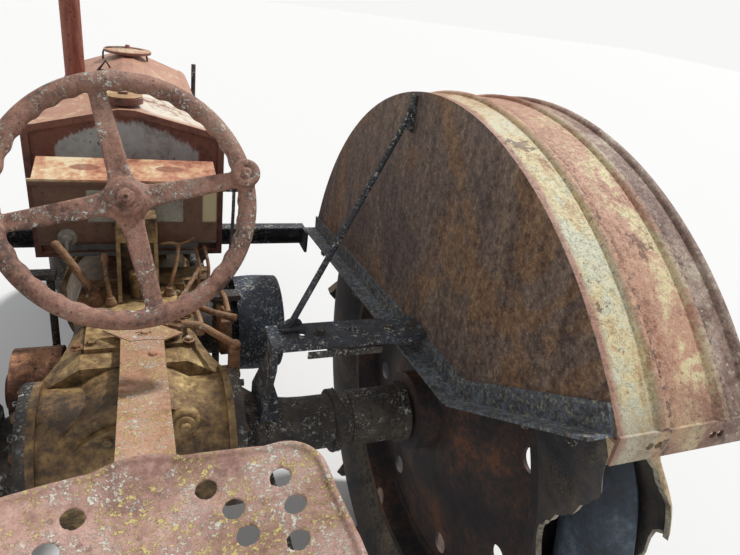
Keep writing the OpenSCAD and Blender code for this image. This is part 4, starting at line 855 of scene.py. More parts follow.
def drawn(points, radius, sides=10, closed=False, soft=False):
    """A round bar, wire or tube that follows the points."""
    put_down()
    bpy.ops.curve.primitive_bezier_curve_add()
    piece = bpy.context.object
    curve = piece.data
    piece.matrix_world = Matrix.Identity(4)
    curve.splines.clear()
    spline = curve.splines.new("BEZIER" if soft else "POLY")
    row = spline.bezier_points if soft else spline.points
    row.add(len(points) - 1)
    for point, place in zip(row, points):
        if soft:
            point.co = place
            point.handle_left_type = point.handle_right_type = "AUTO"
        else:
            point.co = (*place, 1)
    spline.use_cyclic_u = closed
    curve.dimensions = "3D"
    curve.resolution_u = 8
    curve.bevel_depth = radius
    curve.bevel_resolution = max(0, sides // 2 - 2)
    curve.use_fill_caps = not closed
    take(piece)
    bpy.ops.object.convert(target="MESH")
    return outwards(bpy.context.object)


def bent(radius, *places, sides=12):
    """A bent round bar through places that are measured from the fenders' middle."""
    return drawn([at(*place) for place in places], radius, sides=sides, soft=True)


def finished(piece, name, material, body, slot, *replaced, smooth=35):
    """Names a piece, shades it, paints it and hands it to the body that carries it."""
    put_down()
    piece.name = piece.data.name = name
    take(piece)
    bpy.ops.object.shade_smooth_by_angle(angle=math.radians(smooth))
    piece.data.materials.clear()
    piece.data.materials.append(material)
    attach(piece, body)
    if replaced:
        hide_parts(*replaced)
    print(name, "has", len(piece.data.polygons), "faces")
    return piece


print("The bench is ready")

# %% [markdown]
# The steering wheel is one iron casting: a round rim with finger scallops on its inner
# underside, four flat spokes that melt into the hub, and a boss for a spinner knob. Cast
# iron has no sharp inner corners, so the parts are modelled plainly, laid into each other,
# and fused with a voxel remesh and a little smoothing, which leaves the casting's fillets.

# %% Steering wheel
wheel_place = Matrix.Translation(at(0, 0.081, 1.228)) @ Matrix.Rotation(math.radians(60), 4, "X")
ring_r, grip_r = 0.2105, 0.018
spoke_turns = (102, 12, 282, 192)
scallops, scallop_depth, swell = 35, 0.0042, 0.0006
web_low, web_top = -0.009, 0.004


def scalloped_rim():
    put_down()
    bpy.ops.mesh.primitive_torus_add(major_segments=280, minor_segments=20, major_radius=ring_r, minor_radius=grip_r)
    rim = bpy.context.object
    for corner in rim.data.vertices:
        round_rim = math.atan2(corner.co.y, corner.co.x)
        spread = Vector((corner.co.x, corner.co.y, 0))
        core = spread.normalized() * ring_r
        out = (corner.co - core).normalized()
        inward = -out.dot(spread.normalized())
        under = max(0.0, 0.75 * inward - 0.55 * out.z)
        wave = 0.5 + 0.5 * math.cos(scallops * round_rim)
        corner.co = core + out * (grip_r - scallop_depth * under * (1 - wave) + swell * under)
    return rim


def spoke(turn):
    piece = block((0.01, -0.0205, web_low), (ring_r, 0.0205, web_top))
    open_up(piece)
    pick("VERT", lambda place, normal: place.x > 0.1)
    bpy.ops.transform.resize(value=(1, 0.7, 1), center_override=(0, 0, 0))
    bpy.ops.object.mode_set(mode="OBJECT")
    rib = block((0.02, -0.006, -0.018), (ring_r - 0.01, 0.006, -0.006))
    piece = join(piece, rib)
    piece.matrix_world = Matrix.Rotation(math.radians(turn), 4, "Z")
    return settle(piece)


def filleted_middle():
    """The square web round the hub, with a quarter round bitten out of each corner."""
    half, bite = 0.047, 0.0265
    web = block((-half, -half, web_low), (half, half, web_top))
    for side_x in (-1, 1):
        for side_y in (-1, 1):
            carve(web, round_bar(bite, 0.05, (side_x * half, side_y * half, 0), 48))
    web.matrix_world = Matrix.Rotation(math.radians(spoke_turns[1]), 4, "Z")
    return settle(web)


def spinner_boss():
    boss = turned([(0.020, -0.016), (0.025, -0.006), (0.026, 0.030), (0.023, 0.0345), (0.0135, 0.0345),
                   (0.0125, 0.029)])
    knob_bolt = turned([(0.009, 0.022), (0.009, 0.0355), (0.007, 0.037), (0.004, 0.037), (0.0035, 0.034)], sides=24)
    boss = join(boss, knob_bolt)
    turn = math.radians(13)
    boss.matrix_world = Matrix.Translation((0.2125 * math.cos(turn), 0.2125 * math.sin(turn), 0))
    return settle(boss)


def hub():
    barrel = turned([(0.030, -0.026), (0.034, -0.020), (0.040, -0.006), (0.040, 0.007), (0.037, 0.010),
                     (0.0335, 0.010), (0.031, 0.020), (0.027, 0.0235), (0.018, 0.0235)])
    return carve(barrel, round_bar(0.0143, 0.021, (0, 0, -0.0175), 40))


def hub_nut():
    washer = turned([(0.021, 0.0225), (0.021, 0.026), (0.012, 0.026)])
    nut = turned([(0.0165, 0.0255), (0.0165, 0.0335), (0.0145, 0.0355), (0.009, 0.0355)], sides=6)
    stud = turned([(0.009, 0.030), (0.009, 0.0385), (0.0075, 0.040), (0.0035, 0.040), (0.003, 0.034)], sides=24)
    return join(washer, nut, stud)


casting = join(scalloped_rim(), *[spoke(turn) for turn in spoke_turns], filleted_middle(), spinner_boss(), hub())
modify(casting, "REMESH", mode="VOXEL", voxel_size=0.0021)
modify(casting, "SMOOTH", factor=0.6, iterations=5)
wheel_piece = join(casting, hub_nut())
wheel_piece.matrix_world = wheel_place
settle(wheel_piece)
finished(wheel_piece, "steering_wheel_cast", grip_rust, "steering_wheel", "wheel_iron", "steering_wheel", smooth=50)

# %% [markdown]
# The seat is one pressed pan: a dished sheet with a wide front edge, a rounded back, two
# times six drain holes and a rolled rim. Its outline is a circle of points that slide out
# to the pan's edge. Loops are drawn inwards from it until they close in the middle, and
# then every corner drops onto the dish. The holes are cut after the sheet has its
# thickness, and the rolled rim is a bar drawn round the edge.

# %% Seat pan
seat_middle_x, seat_low, seat_floor = 0.021, -0.527, 0.975
seat_half, dish_r = 0.238, 0.700
seat_place = Matrix.Translation(at(seat_middle_x, seat_low, 0)) @ Matrix.Rotation(math.radians(4.5), 4, "Z")
pan_sheet, rolled_rim_r, holes_from = 0.004, 0.0062, 0.219
hole_rows = ((0.080, 0.084), (0.108, 0.124), (0.117, 0.166), (0.176, 0.104), (0.183, 0.150), (0.172, 0.199))


def inside_seat(x, y):
    """Whether a point, measured from the pan's lowest point, lies on the pan."""
    back_y, corner_x, corner_y, corner_r = -0.013, 0.178, 0.1053, 0.060
    front_y, front_r, front_half = -0.308, 0.504, 0.2017
    pommel_y, pommel_r = 0.069, 0.137
    if y < back_y:
        return math.hypot(x, y - back_y) <= seat_half
    if y <= corner_y:
        return abs(x) <= seat_half
    front = math.hypot(x, y - front_y) <= front_r and abs(x) <= front_half
    pommel = math.hypot(x, y - pommel_y) <= pommel_r
    corner = math.hypot(abs(x) - corner_x, y - corner_y) <= corner_r
    return front or pommel or corner


def seat_edge(turn, middle):
    reach = 0.40
    while not inside_seat(reach * math.cos(turn), middle + reach * math.sin(turn)):
        reach -= 0.0005
    return reach


def dish(x, y):
    wave = 0.0014 * math.sin(x * 31 + 1) * math.cos(y * 27)
    return seat_floor + dish_r - math.sqrt(dish_r ** 2 - x * x - y * y) + wave


def pressed_pan(points=176, middle=0.03):
    put_down()
    bpy.ops.mesh.primitive_circle_add(vertices=points, radius=1, fill_type="NOTHING")
    pan = bpy.context.object
    for corner in pan.data.vertices:
        turn = math.atan2(corner.co.y, corner.co.x)
        reach = seat_edge(turn, middle) - pan_sheet
        corner.co = (reach * math.cos(turn), middle + reach * math.sin(turn), 0)
    edge = sorted((v.co.copy() for v in pan.data.vertices), key=lambda co: math.atan2(co.y - middle, co.x))
    open_up(pan)
    width = 1.0
    for share in (0.985, 0.95, 0.89, 0.81, 0.72, 0.62, 0.51, 0.39, 0.26, 0.13):
        bpy.ops.mesh.extrude_edges_move()
        bpy.ops.transform.resize(value=(share / width,) * 2 + (1,), center_override=(0, middle, 0))
        width = share
    bpy.ops.mesh.extrude_edges_move()
    bpy.ops.mesh.merge(type="CENTER")
    bpy.ops.object.mode_set(mode="OBJECT")
    for corner in pan.data.vertices:
        corner.co.z = dish(corner.co.x, corner.co.y) + pan_sheet / 2
    outwards(pan)
    modify(pan, "SOLIDIFY", thickness=pan_sheet, offset=0)
    return pan, [Vector((co.x, co.y, dish(co.x, co.y) + pan_sheet / 2)) for co in edge]


def cut_holes(pan, radius=0.0135):
    cutters = [round_bar(radius, 0.2, (side * across, holes_from - back, seat_floor + 0.03), 32)
               for side in (-1, 1) for across, back in hole_rows]
    carve(pan, join(*cutters))


pan, pan_edge = pressed_pan()
cut_holes(pan)
pan = join(pan, drawn(pan_edge, rolled_rim_r, sides=12, closed=True))
modify(pan, "REMESH", mode="VOXEL", voxel_size=0.0023)
modify(pan, "SMOOTH", factor=0.6, iterations=6)
pan_bolt = turned([(0.011, 0), (0.011, 0.004), (0.009, 0.007), (0.004, 0.008)], sides=24)
pan_bolt.matrix_world = Matrix.Translation((0, 0.004, seat_floor + 0.004))
pan = join(pan, settle(pan_bolt))
pan.matrix_world = seat_place
settle(pan)
finished(pan, "seat_pressing", seat_rust, "chassis", "seat_steel", "seat_pan", smooth=45)

# %% [markdown]
# The same small bolt holds half the machine together. It is modelled once as a six-sided
# head with a chamfer on a washer, and a row of places says where its copies sit. All the
# bolts of one finish become a single piece.


# %% Bolts
def bolt(radius=0.009):
    head = turned([(radius, 0.0015), (radius, radius * 0.7), (radius * 0.85, radius * 0.85)], sides=6)
    washer = turned([(radius * 1.45, -0.001), (radius * 1.45, 0.0015), (radius * 0.9, 0.0018)], sides=20)
    return join(head, washer)


def bolt_rows(rows):
    """Bolts at (place, axis, head radius), as one piece."""
    return join(*[stand(bolt(radius), place, axis, twist=index * 0.7)
                  for index, (place, axis, radius) in enumerate(rows)])


def ring_of_bolts(middle, axis, ring, count, radius, start=0.0):
    """Places for bolts on a circle round an axis along X."""
    return [(middle + Vector((0, ring * math.cos(a), ring * math.sin(a))), axis, radius)
            for a in (start + 2 * math.pi * i / count for i in range(count))]


iron_bolts = [(at(side * 0.5464, y, z), (-side, 0, 0), 0.008)
              for side in (-1, 1) for y, z in ((0.60, 0.862), (0.30, 0.890), (0.05, 0.925), (-0.20, 0.958),
                                               (-0.43, 1.078), (-0.52, 1.128))]
platform_bolts = [(at(side * x, -0.065, 1.0182), (0, 0, 1), 0.009)
                  for side in (-1, 1) for x in (0.335, 0.478, 0.525)]
finished(bolt_rows(iron_bolts + platform_bolts), "carrier_bolts", iron_dark, "chassis", "dark_bar")

case_bolts = [(at(x, y, case_top), (0, 0, 1), 0.009) for x in (-0.112, 0.112) for y in (0.16, 0.26, 0.36)]
for side in (-1, 1):
    case_bolts += ring_of_bolts(at(side * 0.2042, axle_ahead, 0.700), (side, 0, 0), 0.138, 12, 0.008, start=0.26)
finished(bolt_rows(case_bolts), "case_bolts", lever_rust, "chassis", "bare_metal")

cover_bolt = stand(bolt(0.011), at(-0.055, -0.054, 0.804), (0, -1, 0))
plug_boss = stand(turned([(0.030, -0.006), (0.030, 0.008), (0.027, 0.011), (0.020, 0.011), (0.020, 0.017),
                          (0.017, 0.019), (0.011, 0.019), (0.011, 0.026), (0.009, 0.028)], sides=36),
                  at(0.086, -0.054, 0.83), (0, -1, 0))
finished(join(cover_bolt, plug_boss), "cover_bolt_and_plug", casting_tan, "chassis", "cast_iron_tan")

# %% [markdown]
# A bent round stay holds each fender's top. At the fender it meets a flat strap that is
# folded over the rim, and at its foot it ends in a hook on the platform. The stay is a bar
# drawn through points; the strap and the foot are blocks with rounded edges.


# %% Fender stays
def fender_stay(side):
    foot, head = at(0.283, -0.047, 1.034), at(0.5405, 0.138, 1.392)
    stay = drawn([foot + Vector((-0.012, -0.004, -0.012)), foot, foot.lerp(head, 0.02), foot.lerp(head, 0.98), head,
                  head + Vector((0.004, 0.004, 0.016))], 0.0065, sides=12)
    strap = block(at(0.5455, 0.130, 1.362), at(0.5515, 0.152, 1.4365), 0.0015)
    plate = block(at(0.262, -0.062, 1.0186), at(0.306, -0.030, 1.0262), 0.002)
    hook = bent(0.0055, (0.268, -0.050, 1.026), (0.274, -0.049, 1.034), (0.286, -0.046, 1.036),
                (0.297, -0.042, 1.030), (0.300, -0.040, 1.024))
    nut = stand(bolt(0.008), at(0.5452, 0.140, 1.400), (-1, 0, 0))
    made = join(stay, strap, plate, hook, nut)
    if side < 0:
        made.matrix_world = Matrix.Diagonal((-1, 1, 1, 1))
        settle(made)
        outwards(made)
    return made


finished(join(fender_stay(1), fender_stay(-1)), "fender_stays", bar_black, "chassis", "dark_bar", "fender_struts")

# %% [markdown]
# The seat's flat bar ends under a bent plate with a slot and a bolt. The plate starts as a
# six-cornered disc whose corners slide out to the plate's own, gets its thickness, and the
# slot is cut through it.


# %% Plate on the bar's front end
def bar_plate():
    corners = ((0.099, 0.164), (0.053, 0.203), (-0.062, 0.193), (-0.009, 0.144), (0.027, 0.146), (0.061, 0.142))
    put_down()
    bpy.ops.mesh.primitive_circle_add(vertices=6, radius=0.05, fill_type="NGON")
    plate = bpy.context.object
    for corner, (x, y) in zip(plate.data.vertices, corners):
        corner.co = at(x, y, 0.8872)
    outwards(plate)
    modify(plate, "SOLIDIFY", thickness=0.005, offset=0)
    carve(plate, block(at(0.000, 0.164, 0.87), at(0.034, 0.178, 0.90), 0.0065, segments=4))
    modify(plate, "BEVEL", width=0.0012, segments=2, limit_method="ANGLE", angle_limit=math.radians(40))
    stud = stand(bolt(0.0085), at(0.021, 0.171, 0.8868), (0.1, 0.2, 1))
    cap_bolts = [stand(bolt(0.009), at(x, y, z), (0, 0.05, 1))
                 for x, y, z in ((0.036, 0.090, 0.8868), (0.004, -0.10, 0.9010))]
    return join(plate, stud, *cap_bolts)


finished(bar_plate(), "bar_plate", bar_ochre, "chassis", "bar_steel")

# %% [markdown]
# Levers and rods are all bent round bars. Drawing each one through a few points
# keeps them crooked in the way that years of use left them. The short gear lever is the
# thickest, and the throttle's cross handle the thinnest.


# %% Levers and rods
def rounded_tip(place, radius):
    put_down()
    bpy.ops.mesh.primitive_uv_sphere_add(segments=20, ring_count=12, radius=radius, location=place)
    tip = settle(bpy.context.object)
    open_up(tip)
    bpy.ops.transform.resize(value=(1, 1, 0.9))
    return close(tip)


def boot(place, radius, height):
    piece = turned([(radius, 0), (radius * 1.05, height * 0.25), (radius * 0.8, height * 0.55),
                    (radius * 0.62, height)], sides=28)
    return stand(piece, place)


boot_foot = 0.8724
gear_points = [at(-0.088, 0.344, 0.882), at(-0.094, 0.348, 0.905), at(-0.128, 0.372, 0.958), at(-0.160, 0.393, 1.000)]
gear_stick = drawn(gear_points, 0.0095, sides=16, soft=True)
gear = join(gear_stick, rounded_tip(gear_points[-1], 0.0102), boot(at(-0.086, 0.344, boot_foot), 0.021, 0.034))
finished(gear, "gear_stick", lever_rust, "chassis", "wheel_iron", "gear_lever")

throttle = bent(0.0048, (0.082, 0.366, 0.874), (0.084, 0.368, 0.890), (0.100, 0.395, 0.945), (0.108, 0.418, 0.984))
handle = bent(0.0040, (0.066, 0.420, 0.984), (0.090, 0.419, 0.988), (0.108, 0.418, 0.984),
              (0.128, 0.421, 0.988), (0.146, 0.424, 0.997))
thin = bent(0.0055, (-0.050, 0.330, 0.874), (-0.052, 0.334, 0.900), (-0.058, 0.360, 0.935), (-0.060, 0.388, 0.958))
thin_knob = stand(turned([(0.006, 0), (0.0085, 0.004), (0.0085, 0.016), (0.006, 0.020)], sides=20),
                  at(-0.060, 0.386, 0.956), (-0.05, 0.5, 0.85))
side_rod = bent(0.0055, (0.062, 0.220, 0.874), (0.066, 0.224, 0.890), (0.112, 0.290, 0.918), (0.150, 0.350, 0.950))
feet = [boot(at(x, y, boot_foot), 0.013, 0.020) for x, y in ((-0.050, 0.330), (0.082, 0.366), (0.062, 0.220))]
twin_rods = [bent(0.0045, (x, 0.380, 0.876), (x + 0.006, 0.396, 0.925), (x - 0.002, 0.430, 0.972),
                  sides=10) for x in (0.150, 0.172)]
finished(join(throttle, handle, thin, thin_knob, side_rod, *feet, *twin_rods), "hand_rods", lever_rust, "chassis",
         "wheel_iron", "hand_levers")


def fork(place, towards, half=0.011):
    """Two cheeks and a pin at a rod's end."""
    towards = Vector(towards).normalized()
    side = towards.cross(Vector((0, 0, 1))).normalized()
    cheeks = [drawn([place + side * half * s, place + side * half * s + towards * 0.035], 0.0042, sides=8)
              for s in (-1, 1)]
    web = drawn([place + side * -half + towards * 0.034, place + side * half + towards * 0.034], 0.0052, sides=8)
    pin = drawn([place - side * half * 1.5, place + side * half * 1.5], 0.0045, sides=8)
    return cheeks + [web, pin]


linkage = fork(at(0.072, 0.214, 0.886), (0.062, -0.030, 0.002))
linkage += [bent(0.0085, (0.100, 0.200, 0.888), (0.134, 0.184, 0.892), (0.170, 0.140, 0.892), (0.200, 0.090, 0.898)),
            bent(0.0065, (0.132, 0.262, 0.880), (0.134, 0.230, 0.900), (0.140, 0.186, 0.893)),
            bent(0.0075, (0.140, 0.264, 0.892), (0.178, 0.236, 0.890), (0.222, 0.212, 0.889)),
            bent(0.0065, (0.190, 0.330, 0.880), (0.200, 0.300, 0.905), (0.206, 0.230, 0.893)),
            rounded_tip(at(0.201, 0.089, 0.898), 0.0125)]
brackets = [block(at(0.128, 0.170, 0.8728), at(0.146, 0.200, 0.886), 0.002),
            block(at(0.186, 0.205, 0.790), at(0.212, 0.345, 0.884), 0.004),
            block(at(0.188, 0.078, 0.820), at(0.212, 0.104, 0.892), 0.004)]
finished(join(*linkage, *brackets), "clutch_linkage", lever_rust, "chassis", "wheel_iron")

thin_rods = [bent(0.0042, (0.246, 0.470, 1.120), (0.243, 0.452, 1.05), (0.238, 0.440, 0.97),
                  (0.230, 0.436, 0.90), (0.228, 0.440, 0.830), sides=10),
             bent(0.0036, (0.262, 0.462, 1.118), (0.259, 0.455, 1.05), (0.252, 0.450, 0.97),
                  (0.242, 0.448, 0.90), (0.240, 0.452, 0.836), sides=10)]
clips = [block(at(0.203, 0.462, 1.106), at(0.268, 0.474, 1.124), 0.002),
         block(at(0.222, 0.430, 0.826), at(0.262, 0.462, 0.842), 0.003)]
finished(join(*thin_rods, *clips), "control_rods", iron_dark, "chassis", "dark_bar")

# %% [markdown]
# The box behind the tank carries a plain plate held by four rivets, and a switch with a
# pale knob hangs at its lower left. What the plate once said is left bare.

# %% Plate and switch on the box
plate = block(at(-0.094, 0.4500, 1.030), at(0.121, 0.4522, 1.110), 0.0008)
open_up(plate)
pick("FACE", lambda place, normal: normal.y < -0.9)
bpy.ops.mesh.inset(thickness=0.004, depth=-0.0006)
finished(close(plate), "box_plate", dull_zinc, "chassis", "bare_metal")
rivets = [stand(turned([(0.0035, 0), (0.003, 0.0012), (0.0012, 0.002)], sides=14), at(x, 0.4502, z), (0, -1, 0))
          for x in (-0.088, 0.115) for z in (1.037, 1.103)]
switch = stand(turned([(0.021, 0), (0.021, 0.006), (0.012, 0.009), (0.012, 0.016), (0.0085, 0.020)], sides=28),
               at(-0.141, 0.4520, 0.992), (0, -1, 0))
stalk = bent(0.004, (-0.141, 0.440, 0.992), (-0.141, 0.425, 0.984), (-0.142, 0.418, 0.955), sides=10)
finished(join(*rivets, switch, stalk), "box_switch", dull_zinc, "chassis", "bare_metal")

# %% [markdown]
# On top of the nose sit the filler cap with its ring, the radiator cap under a wire bail,
# a knob, a small black bracket, and a post far ahead on the right.

# %% Fittings on the nose
cap_top = stand(turned([(0.046, 0), (0.047, 0.004), (0.043, 0.007), (0.030, 0.0085), (0.028, 0.006), (0.012, 0.006),
                        (0.011, 0.011), (0.006, 0.012)], sides=48), at(-0.008, 0.666, 1.2842))
finished(cap_top, "filler_cap_top", cap_cream, "chassis", "rusty_sheet")

bail = bent(0.0035, (-0.089, 1.57, 1.226), (-0.080, 1.57, 1.262), (-0.045, 1.572, 1.270),
            (0.026, 1.574, 1.271), (0.060, 1.572, 1.262), (0.070, 1.57, 1.228), sides=10)
knob = stand(turned([(0.008, 0), (0.008, 0.010), (0.015, 0.014), (0.016, 0.026), (0.011, 0.032)], sides=24),
             at(-0.165, 1.30, 1.206))
bracket = join(block(at(-0.100, 1.335, 1.215), at(-0.050, 1.352, 1.226), 0.002),
               drawn([at(-0.095, 1.343, 1.224), at(-0.070, 1.344, 1.256), at(-0.052, 1.343, 1.224)], 0.004, sides=8))
post = join(drawn([at(0.238, 1.560, 1.060), at(0.240, 1.560, 1.236)], 0.0085, sides=14),
            block(at(0.212, 1.552, 1.118), at(0.242, 1.568, 1.140), 0.003))
finished(join(bail, knob, bracket, post), "nose_fittings", iron_dark, "chassis", "dark_bar")

# %% [markdown]
# Then come the pieces that hang on the axle housings: a loop of wire on the right collar,
# and a short bar under each platform.


# %% Fittings on the axle
def housing_radius(x, reach=0.012):
    """The right housing's radius near a distance from the middle, measured on its mesh."""
    places = [v.co for v in nodes["axle_housings"].data.vertices if abs(v.co.x - x) < reach]
    return max((math.hypot(*(place - housing_middle).yz) for place in places), default=0.0)


def wire_round(x, start, end, radius, slant):
    turns = [math.radians(start + (end - start) * i / 9) for i in range(10)]
    places = [(x + slant * i, housing_middle.y + radius * math.cos(a), housing_middle.z + radius * math.sin(a))
              for i, a in enumerate(turns)]
    return drawn(places, 0.0022, sides=8, soft=True)


collar_r = max(housing_radius(x) for x in (0.405, 0.415, 0.425, 0.435))
print("The collar's radius is", round(collar_r, 4), "m")

under_bar = [outwards(block(at(side * 0.305 - 0.001, -0.104, 0.9846), at(side * 0.455, -0.100, 1.000), 0.0015))
             for side in (1, -1)]
finished(join(*under_bar, wire_round(0.428, 62, 212, collar_r + 0.0012, -0.0016)), "axle_fittings",
         iron_dark, "chassis", "dark_bar")

# %% [markdown]
# A tractor tyre is a thin casing on the rim with two rows of slanting lugs. Its section is
# drawn once, as a ring of points that slide to the section and open into a line, and spun
# round the axle. One lug is modelled and copied round. The right tyre burst long ago: its
# inner wall is torn away behind, its outer wall has sunk in, and the end of the tread curls
# free. So the torn faces are picked by their angle and radius and deleted before the casing
# gets its thickness, and one function bends casing, lugs and the tube inside alike.

# %% Rear tyres
tyre_half = ((0.000, 0.6745), (0.030, 0.6740), (0.060, 0.6715), (0.085, 0.6670), (0.103, 0.6570), (0.114, 0.6410),
             (0.121, 0.6200), (0.125, 0.5930), (0.1245, 0.5650), (0.121, 0.5380), (0.114, 0.5120), (0.104, 0.4900),
             (0.092, 0.4740), (0.082, 0.4620), (0.078, 0.4585))
tyre_section = [(-x, r) for x, r in reversed(tyre_half[1:])] + list(tyre_half)
lug_count, lug_slant = 20, math.radians(42)
lug_half, lug_wide, lug_tall, lug_out, lug_foot = 0.079, 0.016, 0.043, 0.060, 0.6575
whole_wall, burst_wall = 0.012, 0.010
tube_ring, tube_r, tube_stretch = 0.546, 0.078, 1.08
tear_line = ((143.5, 0.76), (144.4, 0.729), (146.1, 0.698), (152.5, 0.645), (156.7, 0.592), (158.8, 0.558),
             (162.4, 0.523), (168.0, 0.520), (172.0, 0.545), (176.0, 0.61), (180.0, 0.76))
tear_from, tear_to, tread_end = 144.2, 180, 158.4
sink_x, tread_low, torn_r, lug_tip_r = 0.715, 0.650, 0.632, 0.6995
dust_from, dust_to, dust_low = 140, 182, 0.652
lugless_from, lugless_to, worn_from, worn_to = 140, 186, 141, 184
sink_begins, sink_ends, sink_radii = (140.5, 147), (172, 190), (0.475, 0.60)
wall_kept = ((140, 0.10), (147, 0.10), (151, 0.23), (154, 0.30), (158, 0.26), (170, 0.14), (190, 0.14))
wall_end = ((144.2, 0.679), (147.0, 0.660), (150.0, 0.634), (150.4, 0.0))
tread_start = ((144.2, 0.670), (145.4, 0.677), (148.0, 0.694), (151.0, 0.717), (154.0, 0.739), (156.4, 0.747),
               (157.4, 0.744), (158.4, 0.729))


def round_axle(place):
    """The angle in degrees, from straight ahead over the top, and the radius of a place round the rear axle."""
    ahead, over = place.y - rear_axle.y, place.z - rear_axle.z
    return math.degrees(math.atan2(over, ahead)) % 360, math.hypot(ahead, over)


def along(row, value):
    """Reads a row of (position, value) pairs, with straight lines between them."""
    for (start, first), (end, second) in zip(row, row[1:]):
        if start <= value <= end:
            return first + (second - first) * (value - start) / (end - start)
    return row[0][1] if value < row[0][0] else row[-1][1]


def eased(value, low, high):
    share = min(1.0, max(0.0, (value - low) / (high - low)))
    return share * share * (3 - 2 * share)


def sunk(place):
    """Where a point of the burst tyre ends up: behind, its outer half sinks towards the middle."""
    turn, radius = round_axle(place)
    share = eased(turn, *sink_begins) * (1 - eased(turn, *sink_ends)) * eased(radius, *sink_radii)
    if place.x > sink_x:
        keep = along(wall_kept, turn)
        place = place.copy()
        place.x += share * (sink_x + keep * (place.x - sink_x) - place.x)
    return place


def torn_away(place):
    """Whether a place of the burst tyre, as sunk leaves it, lies in the tear."""
    turn, radius = round_axle(place)
    if not tear_from < turn < tear_to:
        return False
    ragged = 0.0025 * math.sin(turn * 5.1) + 0.002 * math.sin(turn * 11.3 + 1)
    if radius > tread_low:
        return turn > tread_end or along(wall_end, turn) < place.x + ragged < along(tread_start, turn)
    if place.x < sink_x:
        return radius > along(tear_line, turn) + ragged
    return turn > tread_end and radius > torn_r + ragged * 2


def casing(centre_x):
    put_down()
    bpy.ops.mesh.primitive_circle_add(vertices=len(tyre_section), radius=1, fill_type="NOTHING")
    piece = bpy.context.object
    for corner, (out, radius) in zip(piece.data.vertices, tyre_section):
        corner.co = (centre_x + out, rear_axle.y, rear_axle.z + radius)
    open_up(piece)
    mesh = bmesh.from_edit_mesh(piece.data)
    last = len(tyre_section) - 1
    bpy.ops.mesh.select_all(action="DESELECT")
    for edge in mesh.edges:
        if {v.index for v in edge.verts} == {0, last}:
            edge.select_set(True)
    bmesh.update_edit_mesh(piece.data)
    bpy.ops.mesh.delete(type="EDGE")
    bpy.ops.mesh.select_all(action="SELECT")
    bpy.ops.mesh.spin(steps=288, angle=2 * math.pi, center=(centre_x, rear_axle.y, rear_axle.z), axis=(1, 0, 0))
    bpy.ops.mesh.select_all(action="SELECT")
    bpy.ops.mesh.remove_doubles(threshold=0.0002)
    bpy.ops.mesh.normals_make_consistent(inside=False)
    bpy.ops.object.mode_set(mode="OBJECT")
    outer = [f for f in piece.data.polygons if abs(f.center.x - centre_x) < 0.02]
    if sum(f.normal.dot(f.center - Vector((f.center.x, *rear_axle[1:]))) for f in outer) < 0:
        piece.data.flip_normals()
    return piece


def lug():
    """One bar, lying across and standing out, tapered to its tip."""
    piece = block((-lug_half, -lug_wide, 0), (lug_half, lug_wide, lug_tall))
    open_up(piece)
    pick("VERT", lambda place, normal: place.z > 0.02)
    bpy.ops.transform.resize(value=(0.96, 0.72, 1), center_override=(0, 0, 0.04))
    bpy.ops.mesh.select_all(action="SELECT")
    bpy.ops.mesh.subdivide(number_cuts=2)
    bpy.ops.mesh.bevel(offset=0.0015, segments=1, affect="EDGES")
    return close(piece)


def lugs(centre_x, missing=lambda turn: False):
    made, first = [], lug()
    for number in range(lug_count):
        for row, side in enumerate((-1, 1)):
            turn = math.radians((number + row / 2) * 360 / lug_count)
            if missing(math.degrees(turn)):
                continue
            copy = twin(first)
            copy.matrix_world = (Matrix.Translation((centre_x, rear_axle.y, rear_axle.z))
                                 @ Matrix.Rotation(turn - math.pi / 2, 4, "X")
                                 @ Matrix.Translation((side * lug_out, 0, lug_foot))
                                 @ Matrix.Rotation(side * lug_slant, 4, "Z"))
            made.append(copy)
    bpy.data.objects.remove(first)
    for piece in made:
        settle(piece)
    return join(*made)


def inner_tube():
    """The tube still lies in the burst tyre, and hides the rim's well from above."""
    put_down()
    bpy.ops.mesh.primitive_torus_add(major_segments=160, minor_segments=28, major_radius=tube_ring,
                                     minor_radius=tube_r, location=tuple(rear_axle),
                                     rotation=(0, math.radians(90), 0))
    tube = bpy.context.object
    tube.scale = (1, 1, tube_stretch)
    return settle(tube)


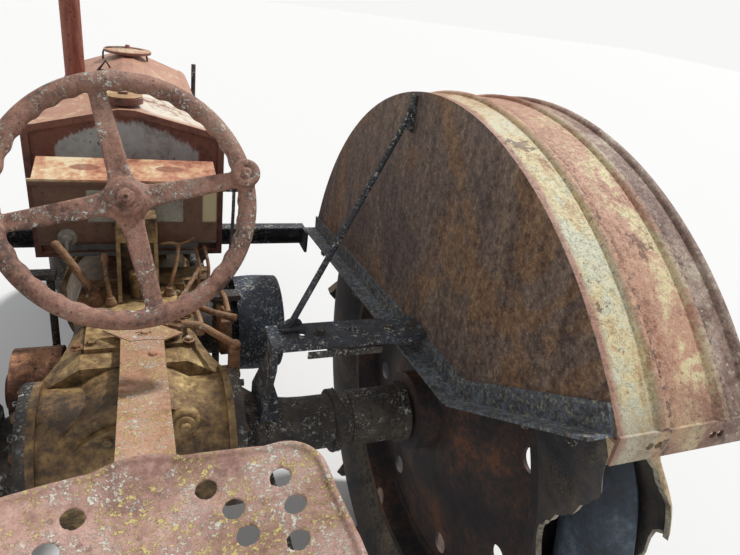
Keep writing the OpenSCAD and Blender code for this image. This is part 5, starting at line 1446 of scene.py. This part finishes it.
def kept_round(piece, most=lug_tip_r):
    """No point stands further from the axle than the lugs' tips."""
    for corner in piece.data.vertices:
        _, radius = round_axle(corner.co)
        if radius > most:
            corner.co.y = rear_axle.y + (corner.co.y - rear_axle.y) * most / radius
            corner.co.z = rear_axle.z + (corner.co.z - rear_axle.z) * most / radius
    return piece


left_casing = modify(casing(-rear_axle.x), "SOLIDIFY", thickness=whole_wall, offset=-1)
left_tyre = kept_round(join(left_casing, lugs(-rear_axle.x)))
finished(left_tyre, "tyre_left", rubber, "rear_wheel_left", "tyre", "rear_tyre_left", smooth=40)

right_casing = casing(rear_axle.x)
open_up(right_casing)
pick("FACE", lambda place, normal: torn_away(sunk(place)))
bpy.ops.mesh.delete(type="FACE")
pick("VERT", lambda place, normal: worn_from < round_axle(place)[0] < worn_to)
for corner in bmesh.from_edit_mesh(right_casing.data).verts:
    if corner.select and not corner.is_boundary:
        corner.select_set(False)
bmesh.update_edit_mesh(right_casing.data)
bpy.ops.mesh.vertices_smooth(factor=0.5, repeat=6)
close(right_casing)
for material in (rubber, torn_rubber):
    right_casing.data.materials.append(material)
modify(right_casing, "SOLIDIFY", thickness=burst_wall, offset=-1, material_offset_rim=1)
right_lugs = lugs(rear_axle.x, missing=lambda turn: lugless_from < turn < lugless_to)
right_lugs.data.materials.append(rubber)
right_tube = inner_tube()
right_tube.data.materials.append(tube_rubber_painted_shade)
right_tyre = join(right_casing, right_lugs, right_tube)
right_tyre.data.materials.append(dusty_tread)
for face in right_tyre.data.polygons:
    turn, radius = round_axle(face.center)
    outward = Vector((0, face.center.y - rear_axle.y, face.center.z - rear_axle.z)).normalized()
    tread = dust_from < turn < dust_to and radius > dust_low and face.normal.dot(outward) > 0.4
    if tread and face.material_index == 0:
        face.material_index = len(right_tyre.data.materials) - 1
for corner in right_tyre.data.vertices:
    corner.co = sunk(corner.co)
take(kept_round(right_tyre))
bpy.ops.object.shade_smooth_by_angle(angle=math.radians(40))
right_tyre.name = right_tyre.data.name = "tyre_right"
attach(right_tyre, "rear_wheel_right")
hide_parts("rear_tyre_right")
print("The burst tyre has", len(right_tyre.data.polygons), "faces")
